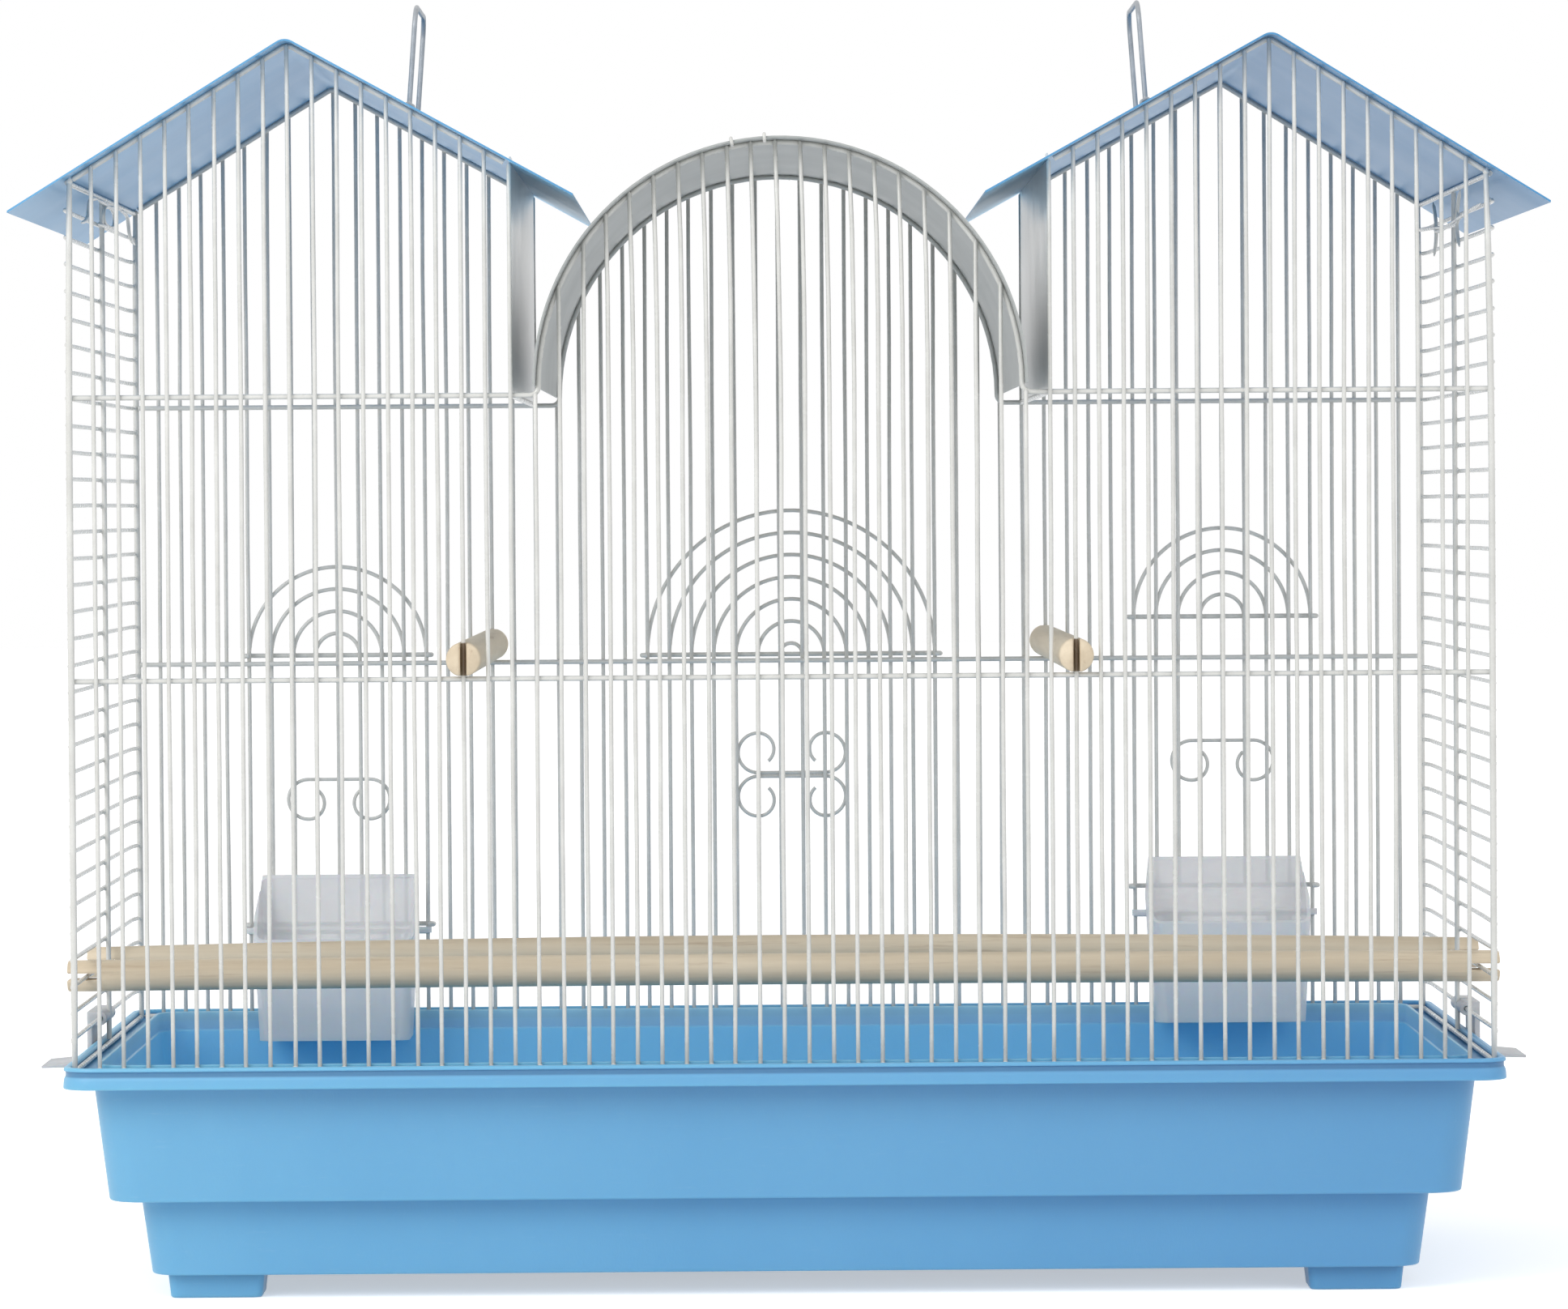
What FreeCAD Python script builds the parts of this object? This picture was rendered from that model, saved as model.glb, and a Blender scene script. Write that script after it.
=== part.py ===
import FreeCAD, Part
import math
import os
import re
import Sketcher
from FreeCAD import Placement, Rotation, Vector

# A bird cage with two gable roofs and a barrel roof between them, on a deep plastic base.
# The origin is on the floor under the middle of the cage. X runs along the width, Z is up, and the wall with
# the three sliding doors faces +Y. The plain wall faces -Y. Lengths are in millimetres.

DRIVING_SIZES = {
    # plastic base
    "rim_beyond_post": 5.2,
    "rim_beyond_wall": 16.7,
    "rim_top": 110.0,
    "rim_corner": 14.0,
    "skirt_height": 10.0,
    "skirt_wall": 2.2,
    "bead_width": 3.0,
    "bead_height": 3.5,
    "groove_drop": 1.6,
    "groove_height": 1.4,
    "groove_depth": 0.8,
    "tub_wall": 2.4,
    "tub_inside_post": 6.7,
    "tub_beyond_wall": 1.0,
    "upper_tub_draft": 6.5,
    "upper_tub_corner": 16.0,
    "step_level": 46.8,
    "step_width": 13.4,
    "lower_tub_draft": 4.5,
    "lower_tub_corner": 14.0,
    "tub_underside": 11.3,
    "foot_width": 44.4,
    "foot_depth": 30.0,
    "foot_draft": 1.2,
    "foot_inset": 7.3,
    # wire cage
    "wire_pitch": 11.125,
    "wire_dia": 2.0,
    "rail_dia": 2.4,
    "post_dia": 3.0,
    "wall_spacing": 322.6,
    "weld_gap": 0.05,
    "seat_gap": 0.3,
    "lower_rail_rise": 174.5,
    "eave_rail_rise": 303.2,
    "side_pitch": 12.19,
    "side_wire_rise": 10.64,
    "main_sill_rise": 16.0,
    "small_sill_rise": 39.5,
    # roofs
    "roof_overhang": 16.7,
    "sheet_gauge": 0.8,
    "ridge_bend": 6.0,
    "outer_eave_overhang": 25.375,
    "outer_eave_drop": 77.5,
    "inner_eave_overhang": 29.375,
    "inner_eave_drop": 71.4,
    "inner_eave_rise": 90.4,
    "arch_leg": 4.0,
    "arch_beside_panel": 10.575,
    "tab_width": 15.0,
    "tab_inset": 23.3,
    "tab_rise": 2.5,
    "slot_gap": 0.3,
    "clip_wire": 1.6,
    "clip_length": 8.0,
    "clip_place": 14.0,
    "clip_spacing": 15.0,
    "clip_gap": 0.2,
    # doors
    "main_crossbar_lift": 3.0,
    "main_foot_lift": 3.0,
    "small_crossbar_lift": 4.0,
    "small_foot_lift": 3.5,
    "right_door_raise": 16.5,
    "slide_gap": 0.5,
    "hook_bend": 2.0,
    "scroll_wire": 1.8,
    "curl_outer": 10.0,
    "curl_inner": 8.0,
    "main_scroll_bar": 34.0,
    "main_scroll_drop": 60.6,
    "small_scroll_bar": 31.0,
    "small_scroll_drop": 62.5,
    # cups
    "cup_width": 82.5,
    "cup_top_width": 75.4,
    "cup_depth": 50.0,
    "cup_wall": 1.8,
    "cup_top_rise": 29.0,
    "cup_height": 80.0,
    "cup_lip_drop": 31.5,
    "cup_draft": 4.0,
    "cup_shoulder_rise": 2.5,
    "cup_shoulder_height": 3.0,
    "cup_shoulder_reach": 5.2,
    "cup_corner": 6.0,
    "cup_gap": 0.8,
    "cup_hook_width": 6.0,
    "cup_hook_wall": 1.3,
    "cup_hook_drop": 5.0,
    "right_cup_raise": 6.0,
    # perches
    "long_perch_dia": 14.6,
    "long_perch_overhang": 11.375,
    "near_perch_place": 78.0,
    "far_perch_place": 13.0,
    "short_perch_dia": 15.6,
    "short_perch_overhang": 6.0,
    "perch_slot_width": 3.0,
    "perch_slot_inside": 2.6,
    # handles
    "handle_wire": 2.4,
    "handle_span": 78.0,
    "handle_height": 49.0,
    "handle_place": 48.0,
    "handle_top_bend": 10.0,
    "handle_foot_bend": 4.0,
    "handle_foot": 9.0,
    "eye_wire": 1.6,
    "eye_gap": 0.4,
    "eye_place": 6.0,
    "eye_reach": 7.2,
    "eye_knee": 3.4,
    "eye_head": 1.6,
    "eye_bend": 1.2,
    # side latches
    "latch_width": 42.0,
    "latch_wall": 2.4,
    "latch_pin_gap": 0.3,
    "latch_eye_wall": 2.0,
    "latch_rim_gap": 1.2,
    "latch_reach": 25.475,
    "latch_knee_drop": 7.0,
    "latch_tip_drop": 14.5,
    "latch_notch": 4.4,
    # how far a cutting shape runs past what it cuts
    "overrun": 4.0,
}

# How many pitches from the middle of a wall the wires, ridges, panels, doors and perches stand.
POST_PITCHES = 29
RIDGE_PITCHES = 20
PANEL_PITCHES = 11
LEFT_PERCH_PITCHES = -13
RIGHT_PERCH_PITCHES = 12
CUP_HOOK_PITCHES = 2.5

# The front-to-back wire of a side wall that the long perches sit on, counted from the lowest.
PERCH_WIRE = 2

# Angles in degrees.
QUARTER_TURN = 90
HALF_TURN = 180
HANDLE_LEAN = 4.2
CURL_END = -50

ALONG_X = Rotation(Vector(0, 1, 0), QUARTER_TURN)
ALONG_Y = Rotation(Vector(1, 0, 0), -QUARTER_TURN)
ALONG_Z = Rotation()

doc = FreeCAD.newDocument("bird_cage")
sheet = doc.addObject("Spreadsheet::Sheet", "sizes")
for row, (size_name, number) in enumerate(DRIVING_SIZES.items(), start=1):
    sheet.set("A%d" % row, size_name)
    sheet.set("B%d" % row, str(number))
    sheet.setAlias("B%d" % row, size_name)
doc.recompute()

parts = []


def in_sheet(formula):
    """A formula written in bare names of sizes, as an expression that reads the sheet."""
    return re.sub(r"[a-z_]+", lambda word: "sizes." + word.group() if word.group() in DRIVING_SIZES
                  else word.group(), formula)


def bind(thing, prop, formula):
    """Tie a property of a thing to a formula in the names of the sheet."""
    thing.setExpression(prop, in_sheet(formula))


def value(formula):
    """The number that a formula gives now."""
    return float(sheet.evalExpression(formula))


def bind_place(thing, rotation, place):
    """Turn a thing and tie its three coordinates to formulas."""
    thing.Placement = Placement(Vector(), rotation)
    for axis, formula in zip("xyz", place):
        bind(thing, "Placement.Base." + axis, formula)


def keep(thing, name):
    """Count a thing as one sub-part of the cage, under its own name."""
    thing.Label = name
    parts.append(thing)
    return thing


def rod(place, length, diameter, along):
    """A straight round wire from a place along an axis."""
    wire = doc.addObject("Part::Cylinder", "rod")
    bind(wire, "Radius", "(%s) / 2" % diameter)
    bind(wire, "Height", length)
    bind_place(wire, along, place)
    return wire


def group(name, things):
    """Like pieces that are kept together as one sub-part."""
    compound = doc.addObject("Part::Compound", name)
    compound.Links = things
    return keep(compound, name)


def formed(name, solids):
    """A sub-part of bent wire, made in its place."""
    feature = doc.addObject("Part::Feature", name)
    feature.Shape = Part.makeCompound(solids)
    feature.Placement = Placement()
    return keep(feature, name)


def new_body(name, place=("0", "0", "0")):
    """An empty body that is one sub-part, at a place."""
    body = doc.addObject("PartDesign::Body", name)
    bind_place(body, ALONG_Z, place)
    return keep(body, name)


def origin_plane(body, role):
    """One of a body's own three base planes."""
    return [feature for feature in body.Origin.OriginFeatures if feature.Role == role][0]


def new_sketch(body, name, role, height="0"):
    """An empty sketch on a base plane of a body, raised by a formula."""
    sketch = body.newObject("Sketcher::SketchObject", name)
    sketch.AttachmentSupport = [(origin_plane(body, role), "")]
    sketch.MapMode = "FlatFace"
    bind(sketch, "AttachmentOffset.Base.z", height)
    return sketch


def limit(sketch, constraint, formula):
    """Add a constraint whose value follows a formula."""
    index = sketch.addConstraint(constraint)
    bind(sketch, "Constraints[%d]" % index, formula)


def outline(sketch, corners):
    """A closed outline of straight edges through corners given as pairs of formulas."""
    points = [Vector(value(across), value(up), 0) for across, up in corners]
    count = len(points)
    first = sketch.GeometryCount
    for index in range(count):
        sketch.addGeometry(Part.LineSegment(points[index], points[(index + 1) % count]), False)
    for index in range(count):
        following = first + (index + 1) % count
        sketch.addConstraint(Sketcher.Constraint("Coincident", first + index, 2, following, 1))
    for index, (across, up) in enumerate(corners):
        limit(sketch, Sketcher.Constraint("DistanceX", -1, 1, first + index, 1, points[index].x), across)
        limit(sketch, Sketcher.Constraint("DistanceY", -1, 1, first + index, 1, points[index].y), up)


def rectangle(sketch, left, right, low, high):
    """A plain rectangle between four formulas."""
    outline(sketch, ((left, low), (right, low), (right, high), (left, high)))


def disc(sketch, across, up, diameter):
    """A circle about a place."""
    centre = Vector(value(across), value(up), 0)
    index = sketch.addGeometry(Part.Circle(centre, Vector(0, 0, 1), value(diameter) / 2), False)
    limit(sketch, Sketcher.Constraint("Diameter", index, value(diameter)), diameter)
    limit(sketch, Sketcher.Constraint("DistanceX", -1, 1, index, 3, centre.x), across)
    limit(sketch, Sketcher.Constraint("DistanceY", -1, 1, index, 3, centre.y), up)


def rounded_rectangle(sketch, width, depth, corner):
    """A rectangle about the sketch's origin, with round corners."""
    half_width = value(width) / 2
    half_depth = value(depth) / 2
    radius = value(corner)
    first = sketch.GeometryCount
    quarters = ((1, -1), (1, 1), (-1, 1), (-1, -1))
    centres = [Vector(x * (half_width - radius), y * (half_depth - radius), 0) for x, y in quarters]
    for index, centre in enumerate(centres):
        start = (index - 1) * math.pi / 2
        end = start + math.pi / 2
        outward = Vector(math.cos(end), math.sin(end), 0) * radius
        following = centres[(index + 1) % len(centres)]
        sketch.addGeometry(Part.ArcOfCircle(Part.Circle(centre, Vector(0, 0, 1), radius), start, end), False)
        sketch.addGeometry(Part.LineSegment(centre + outward, following + outward), False)
    edges = 2 * len(centres)
    for index in range(edges):
        following = first + (index + 1) % edges
        sketch.addConstraint(Sketcher.Constraint("Tangent", first + index, 2, following, 1))
    for index, kind in ((1, "Vertical"), (3, "Horizontal"), (5, "Vertical"), (7, "Horizontal")):
        sketch.addConstraint(Sketcher.Constraint(kind, first + index))
    for index in (2, 4, 6):
        sketch.addConstraint(Sketcher.Constraint("Equal", first, first + index))
    limit(sketch, Sketcher.Constraint("Radius", first, radius), corner)
    limit(sketch, Sketcher.Constraint("DistanceX", -1, 1, first + 1, 1, half_width), "(%s) / 2" % width)
    limit(sketch, Sketcher.Constraint("DistanceX", first + 5, 1, -1, 1, half_width), "(%s) / 2" % width)
    limit(sketch, Sketcher.Constraint("DistanceY", -1, 1, first + 3, 1, half_depth), "(%s) / 2" % depth)
    limit(sketch, Sketcher.Constraint("DistanceY", first + 7, 1, -1, 1, half_depth), "(%s) / 2" % depth)


def extrude(body, kind, name, sketch, length, midplane=False, backwards=False):
    """A pad or a pocket of a sketch."""
    feature = body.newObject("PartDesign::" + kind, name)
    feature.Profile = sketch
    bind(feature, "Length", length)
    feature.Midplane = midplane
    feature.Reversed = backwards
    return feature


def loft(body, kind, name, low_sketch, high_sketch):
    """A straight-sided loft between two sketches, added or cut."""
    feature = body.newObject("PartDesign::" + kind, name)
    feature.Profile = low_sketch
    feature.Sections = [high_sketch]
    feature.Ruled = True
    return feature


def swept(edges, diameter):
    """A round wire along edges that meet end to end without corners."""
    first = edges[0]
    start = first.valueAt(first.FirstParameter)
    heading = first.tangentAt(first.FirstParameter)
    section = Part.Wire([Part.Circle(start, heading, diameter / 2).toShape()])
    return Part.Wire(edges).makePipeShell([section], True, True)


def bent_wire(points, bends, diameter):
    """A round wire along straight runs through the points, with an arc of its own radius at each corner."""
    edges = []
    start = points[0]
    for corner, after, radius in zip(points[1:-1], points[2:], bends):
        incoming = (corner - start).normalize()
        outgoing = (after - corner).normalize()
        turn = incoming.getAngle(outgoing)
        reach = radius * math.tan(turn / 2)
        arc_start = corner - incoming * reach
        arc_end = corner + outgoing * reach
        inward = (outgoing - incoming).normalize()
        arc_middle = corner + inward * (radius / math.cos(turn / 2) - radius)
        if (arc_start - start).Length > value("weld_gap"):
            edges.append(Part.LineSegment(start, arc_start).toShape())
        else:
            arc_start = start
        edges.append(Part.Arc(arc_start, arc_middle, arc_end).toShape())
        start = arc_end
    edges.append(Part.LineSegment(start, points[-1]).toShape())
    return swept(edges, diameter)


# Lines that several pieces share. Rails and gable frames lie just inside the upright wires, and the bottom
# rails just outside them, where the rim of the base carries them.

FLANGE_TOP = "(rim_top - bead_height)"
WIRE_FOOT = "(rim_top - bead_height + seat_gap)"
WALL_Y = "(wall_spacing / 2)"
RIM_DEPTH = "(wall_spacing + 2 * rim_beyond_wall)"
UPPER_TUB_DEPTH = "(wall_spacing + 2 * tub_beyond_wall)"
ROOF_DEPTH = "(wall_spacing + 2 * roof_overhang)"
RAIL_Y = "(wall_spacing / 2 - wire_dia / 2 - rail_dia / 2 - weld_gap)"
BOTTOM_RAIL_Y = "(wall_spacing / 2 + wire_dia / 2 + rail_dia / 2 + weld_gap)"
BOTTOM_RAIL_LEVEL = "(%s + rail_dia / 2)" % WIRE_FOOT
POST_X = "(%d * wire_pitch)" % POST_PITCHES
PANEL_X = "(%d * wire_pitch)" % PANEL_PITCHES
RIDGE_X = "(%d * wire_pitch)" % RIDGE_PITCHES
RIM_WIDTH = "(2 * (%s + rim_beyond_post))" % POST_X
UPPER_TUB_WIDTH = "(2 * (%s - tub_inside_post))" % POST_X
LONG_PERCH_LENGTH = "(2 * (%s + long_perch_overhang))" % POST_X
LOWER_RAIL_LEVEL = "(rim_top + lower_rail_rise)"
EAVE_RAIL_LEVEL = "(rim_top + eave_rail_rise)"
MAIN_SILL_LEVEL = "(rim_top + main_sill_rise)"
SMALL_SILL_LEVEL = "(rim_top + small_sill_rise)"
INNER_EAVE_LEVEL = "(%s + inner_eave_rise)" % EAVE_RAIL_LEVEL
RIDGE_LEVEL = "(%s + inner_eave_drop)" % INNER_EAVE_LEVEL
OUTER_EAVE_REACH = "(%s - %s + outer_eave_overhang)" % (POST_X, RIDGE_X)
INNER_EAVE_REACH = "(%s - %s + inner_eave_overhang)" % (RIDGE_X, PANEL_X)
ARCH_RADIUS = "(%s - arch_beside_panel)" % PANEL_X
SIDE_WIRE_X = "(%s + post_dia / 2 + wire_dia / 2 + weld_gap)" % POST_X
SIDE_RAIL_LENGTH = "(wall_spacing - post_dia - 2 * weld_gap)"
RAIL_END_X = "(%s - rail_dia / 2)" % POST_X
ARCH_CENTRE = "(%s + arch_leg)" % EAVE_RAIL_LEVEL
ARCH_INSIDE = "(%s - sheet_gauge - weld_gap)" % ARCH_RADIUS
OUTER_SLOPE = "(outer_eave_drop / %s)" % OUTER_EAVE_REACH
INNER_SLOPE = "(inner_eave_drop / %s)" % INNER_EAVE_REACH
OUTER_STRETCH = "sqrt(1 + %s ^ 2)" % OUTER_SLOPE
INNER_STRETCH = "sqrt(1 + %s ^ 2)" % INNER_SLOPE
TOP_RAIL_LEVEL = "(%s - (%s - %s) * %s - (sheet_gauge + rail_dia / 2 + weld_gap) * %s)" % (
    RIDGE_LEVEL, POST_X, RIDGE_X, OUTER_SLOPE, OUTER_STRETCH)


def side_level(index):
    """The level of a front-to-back wire of a side wall, counted from the lowest."""
    return "(rim_top + side_wire_rise + %d * side_pitch)" % index


def wire_top(index, diameter="wire_dia"):
    """Where an upright ends, some pitches from the middle of a wall: under a gable roof, level with the eave
    rail beside the barrel roof, or under the barrel roof."""
    count = abs(index)
    place = "%d * wire_pitch" % count
    if count >= PANEL_PITCHES:
        slope, stretch = (OUTER_SLOPE, OUTER_STRETCH) if count > RIDGE_PITCHES else (INNER_SLOPE, INNER_STRETCH)
        reach = "(abs(%s - %s) + %s / 2)" % (place, RIDGE_X, diameter)
        bend = "ridge_bend * (%s - 1)" % stretch if count == RIDGE_PITCHES else "0"
        return "(%s - %s * %s - sheet_gauge * %s - %s - weld_gap)" % (RIDGE_LEVEL, reach, slope, stretch, bend)
    if value("%s + wire_dia - %s" % (place, ARCH_INSIDE)) > 0:
        return "(%s + rail_dia / 2)" % EAVE_RAIL_LEVEL
    return "(%s + sqrt(%s ^ 2 - (%s + wire_dia / 2) ^ 2))" % (ARCH_CENTRE, ARCH_INSIDE, place)


def upright(index, side, foot, top):
    """One upright wire of the plain wall (side -1) or the door wall (side 1)."""
    place = ("%d * wire_pitch" % index, "%d * %s" % (side, WALL_Y), foot)
    return rod(place, "%s - %s" % (top, foot), "wire_dia", ALONG_Z)


def base_tub():
    """The moulded base: a stepped tub with a beaded rim, a turned-down skirt and four feet."""
    body = new_body("base_tub")
    step_width = "(%s - 2 * upper_tub_draft)" % UPPER_TUB_WIDTH
    step_depth = "(%s - 2 * upper_tub_draft)" % UPPER_TUB_DEPTH
    lower_width = "(%s - 2 * step_width)" % step_width
    lower_depth = "(%s - 2 * step_width)" % step_depth
    bottom_width = "(%s - 2 * lower_tub_draft)" % lower_width
    bottom_depth = "(%s - 2 * lower_tub_draft)" % lower_depth
    skirt_foot = "(rim_top - skirt_height)"

    def section(name, height, width, depth, corner, inset="0"):
        sketch = new_sketch(body, name, "XY_Plane", height)
        rounded_rectangle(sketch, "(%s - 2 * %s)" % (width, inset), "(%s - 2 * %s)" % (depth, inset),
                          "(%s - %s)" % (corner, inset))
        return sketch

    low = section("lower_foot_section", "tub_underside", bottom_width, bottom_depth, "lower_tub_corner")
    high = section("lower_top_section", "step_level", lower_width, lower_depth, "lower_tub_corner")
    loft(body, "AdditiveLoft", "lower_tub", low, high)
    low = section("upper_foot_section", "step_level", step_width, step_depth, "upper_tub_corner")
    high = section("upper_top_section", skirt_foot, UPPER_TUB_WIDTH, UPPER_TUB_DEPTH, "upper_tub_corner")
    loft(body, "AdditiveLoft", "upper_tub", low, high)
    rim = section("rim_section", skirt_foot, RIM_WIDTH, RIM_DEPTH, "rim_corner")
    extrude(body, "Pad", "rim", rim, "skirt_height")
    channel = section("channel_section", "rim_top", RIM_WIDTH, RIM_DEPTH, "rim_corner", "bead_width")
    extrude(body, "Pocket", "channel", channel, "bead_height")
    hollow = section("skirt_hollow_section", skirt_foot, RIM_WIDTH, RIM_DEPTH, "rim_corner", "skirt_wall")
    rounded_rectangle(hollow, UPPER_TUB_WIDTH, UPPER_TUB_DEPTH, "upper_tub_corner")
    extrude(body, "Pocket", "skirt_hollow", hollow, "skirt_height - bead_height - tub_wall", backwards=True)
    groove = section("groove_section", "(rim_top - groove_drop)", RIM_WIDTH, RIM_DEPTH, "rim_corner",
                     "(0 - overrun)")
    rounded_rectangle(groove, "(%s - 2 * groove_depth)" % RIM_WIDTH, "(%s - 2 * groove_depth)" % RIM_DEPTH,
                      "(rim_corner - groove_depth)")
    extrude(body, "Pocket", "groove", groove, "groove_height")
    low = section("upper_floor_section", "(step_level + tub_wall)", step_width, step_depth, "upper_tub_corner",
                  "tub_wall")
    high = section("mouth_section", FLANGE_TOP, UPPER_TUB_WIDTH, UPPER_TUB_DEPTH, "upper_tub_corner",
                   "tub_wall")
    loft(body, "SubtractiveLoft", "upper_hollow", low, high)
    low = section("floor_section", "(tub_underside + tub_wall)", bottom_width, bottom_depth,
                  "lower_tub_corner", "tub_wall")
    high = section("lower_mouth_section", "(step_level + tub_wall)", lower_width, lower_depth,
                   "lower_tub_corner", "tub_wall")
    loft(body, "SubtractiveLoft", "lower_hollow", low, high)
    for side_x, side_y in ((-1, -1), (1, -1), (-1, 1), (1, 1)):
        sketches = []
        for level, inset in (("0", "foot_draft"), ("tub_underside", "0")):
            sketch = new_sketch(body, "foot_section", "XY_Plane", level)
            outer_x = "(%s / 2 - foot_inset - %s)" % (bottom_width, inset)
            inner_x = "(%s / 2 - foot_inset - foot_width + %s)" % (bottom_width, inset)
            outer_y = "(%s / 2 - foot_inset - %s)" % (bottom_depth, inset)
            inner_y = "(%s / 2 - foot_inset - foot_depth + %s)" % (bottom_depth, inset)
            outline(sketch, [("%d * %s" % (side_x, x), "%d * %s" % (side_y, y)) for x, y in (
                (inner_x, inner_y), (outer_x, inner_y), (outer_x, outer_y), (inner_x, outer_y))])
            sketches.append(sketch)
        loft(body, "AdditiveLoft", "foot", sketches[0], sketches[1])


def long_rail(place_y, level):
    """A straight rail along a wall, between the corner posts."""
    return rod(("-%s" % RAIL_END_X, place_y, level), "2 * %s" % RAIL_END_X, "rail_dia", ALONG_X)


def eave_rail(name, side):
    """The wire that runs along a wall at the eaves, up round the barrel roof's end and on to the other corner.
    It carries the barrel roof."""
    middle = value(ARCH_CENTRE)
    level = value(EAVE_RAIL_LEVEL)
    radius = value("%s - rail_dia / 2" % ARCH_INSIDE)
    bend = middle - level
    end = value(RAIL_END_X)
    depth = side * value(RAIL_Y)
    half_bend = bend * math.sqrt(0.5)

    def at(across, up):
        return Vector(across, depth, up)

    bend_middle = radius + bend - half_bend
    edges = [
        Part.LineSegment(at(-end, level), at(-radius - bend, level)),
        Part.Arc(at(-radius - bend, level), at(-bend_middle, middle - half_bend), at(-radius, middle)),
        Part.Arc(at(-radius, middle), at(0, middle + radius), at(radius, middle)),
        Part.Arc(at(radius, middle), at(bend_middle, middle - half_bend), at(radius + bend, level)),
        Part.LineSegment(at(radius + bend, level), at(end, level)),
    ]
    formed(name, [swept([edge.toShape() for edge in edges], value("rail_dia"))])


def gable_frames(name, side):
    """The two bent wires under the gable roofs of one wall."""
    drop = value("sheet_gauge + rail_dia / 2 + weld_gap")
    inner_slope = value(INNER_SLOPE)
    outer_slope = value(OUTER_SLOPE)
    ridge_x = value(RIDGE_X)
    ridge_level = value(RIDGE_LEVEL)
    apex_shift = drop * (value(INNER_STRETCH) - value(OUTER_STRETCH)) / (inner_slope + outer_slope)
    inner_x = value("%s + rail_dia" % PANEL_X)
    outer_x = value("%s - rail_dia" % POST_X)
    inner_level = ridge_level - (ridge_x - inner_x) * inner_slope - drop * value(INNER_STRETCH)
    outer_level = ridge_level - (outer_x - ridge_x) * outer_slope - drop * value(OUTER_STRETCH)
    apex_level = ridge_level - apex_shift * outer_slope - drop * value(OUTER_STRETCH)
    bend = value("ridge_bend - rail_dia / 2 - weld_gap")
    depth = side * value(RAIL_Y)
    frames = []
    for hand in (-1, 1):
        points = [Vector(hand * inner_x, depth, inner_level),
                  Vector(hand * (ridge_x + apex_shift), depth, apex_level),
                  Vector(hand * outer_x, depth, outer_level)]
        frames.append(bent_wire(points, [bend], value("rail_dia")))
    formed(name, frames)


def plain_wall():
    """The wall towards the viewer: upright wires and the rails across them."""
    places = range(1 - POST_PITCHES, POST_PITCHES)
    group("plain_wall_wires", [upright(index, -1, WIRE_FOOT, wire_top(index)) for index in places])
    keep(long_rail("-%s" % RAIL_Y, LOWER_RAIL_LEVEL), "plain_wall_lower_rail")
    keep(long_rail("-%s" % BOTTOM_RAIL_Y, BOTTOM_RAIL_LEVEL), "plain_wall_bottom_rail")
    eave_rail("plain_wall_eave_rail", -1)
    gable_frames("plain_wall_gable_frames", -1)


# The three doors: the pitches of their two guide wires, the sill under each, and the levels of its crossbar
# and bottom bar.
MAIN_DOOR = {"name": "main_door", "guides": (-6, 7), "sill": MAIN_SILL_LEVEL,
             "crossbar": "(%s + main_crossbar_lift)" % LOWER_RAIL_LEVEL,
             "foot": "(%s + main_foot_lift)" % MAIN_SILL_LEVEL}
LEFT_DOOR = {"name": "left_door", "guides": (-24, -16), "sill": SMALL_SILL_LEVEL,
             "crossbar": "(%s + small_crossbar_lift)" % LOWER_RAIL_LEVEL,
             "foot": "(%s + small_foot_lift)" % SMALL_SILL_LEVEL}
RIGHT_DOOR = {"name": "right_door", "guides": (16, 24), "sill": "(%s + right_cup_raise)" % SMALL_SILL_LEVEL,
              "crossbar": "(%s + small_crossbar_lift + right_door_raise)" % LOWER_RAIL_LEVEL,
              "foot": "(%s + small_foot_lift + right_door_raise)" % SMALL_SILL_LEVEL}
DOORS = (MAIN_DOOR, LEFT_DOOR, RIGHT_DOOR)

DOOR_Y = "(%s + wire_dia + slide_gap)" % WALL_Y
CROSSBAR_Y = "(%s + wire_dia / 2 + rail_dia / 2 + weld_gap)" % DOOR_Y
HOOK_Y = "(%s - wire_dia / 2 - slide_gap - rail_dia / 2)" % WALL_Y
HOOK_REACH = "(wire_dia / 2 + slide_gap + rail_dia / 2)"
SCROLL_Y = "(%s + wire_dia / 2 + scroll_wire / 2 + weld_gap)" % DOOR_Y


def door_wall():
    """The wall away from the viewer: upright wires, cut out at three doorways, with a sill under each."""
    wires = []
    for index in range(1 - POST_PITCHES, POST_PITCHES):
        door = next((door for door in DOORS if door["guides"][0] < index < door["guides"][1]), None)
        if door is None:
            wires.append(upright(index, 1, WIRE_FOOT, wire_top(index)))
            continue
        wires.append(upright(index, 1, WIRE_FOOT, "(%s + rail_dia / 2)" % door["sill"]))
        wires.append(upright(index, 1, "(%s - rail_dia / 2)" % LOWER_RAIL_LEVEL, wire_top(index)))
    group("door_wall_wires", wires)
    keep(long_rail(RAIL_Y, LOWER_RAIL_LEVEL), "door_wall_lower_rail")
    keep(long_rail(BOTTOM_RAIL_Y, BOTTOM_RAIL_LEVEL), "door_wall_bottom_rail")
    eave_rail("door_wall_eave_rail", 1)
    gable_frames("door_wall_gable_frames", 1)
    sills = []
    for door in DOORS:
        first, last = door["guides"]
        start = "%d * wire_pitch - wire_dia / 2" % first
        sills.append(rod((start, RAIL_Y, door["sill"]), "%d * wire_pitch + wire_dia" % (last - first),
                         "rail_dia", ALONG_X))
    group("door_sills", sills)


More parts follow.
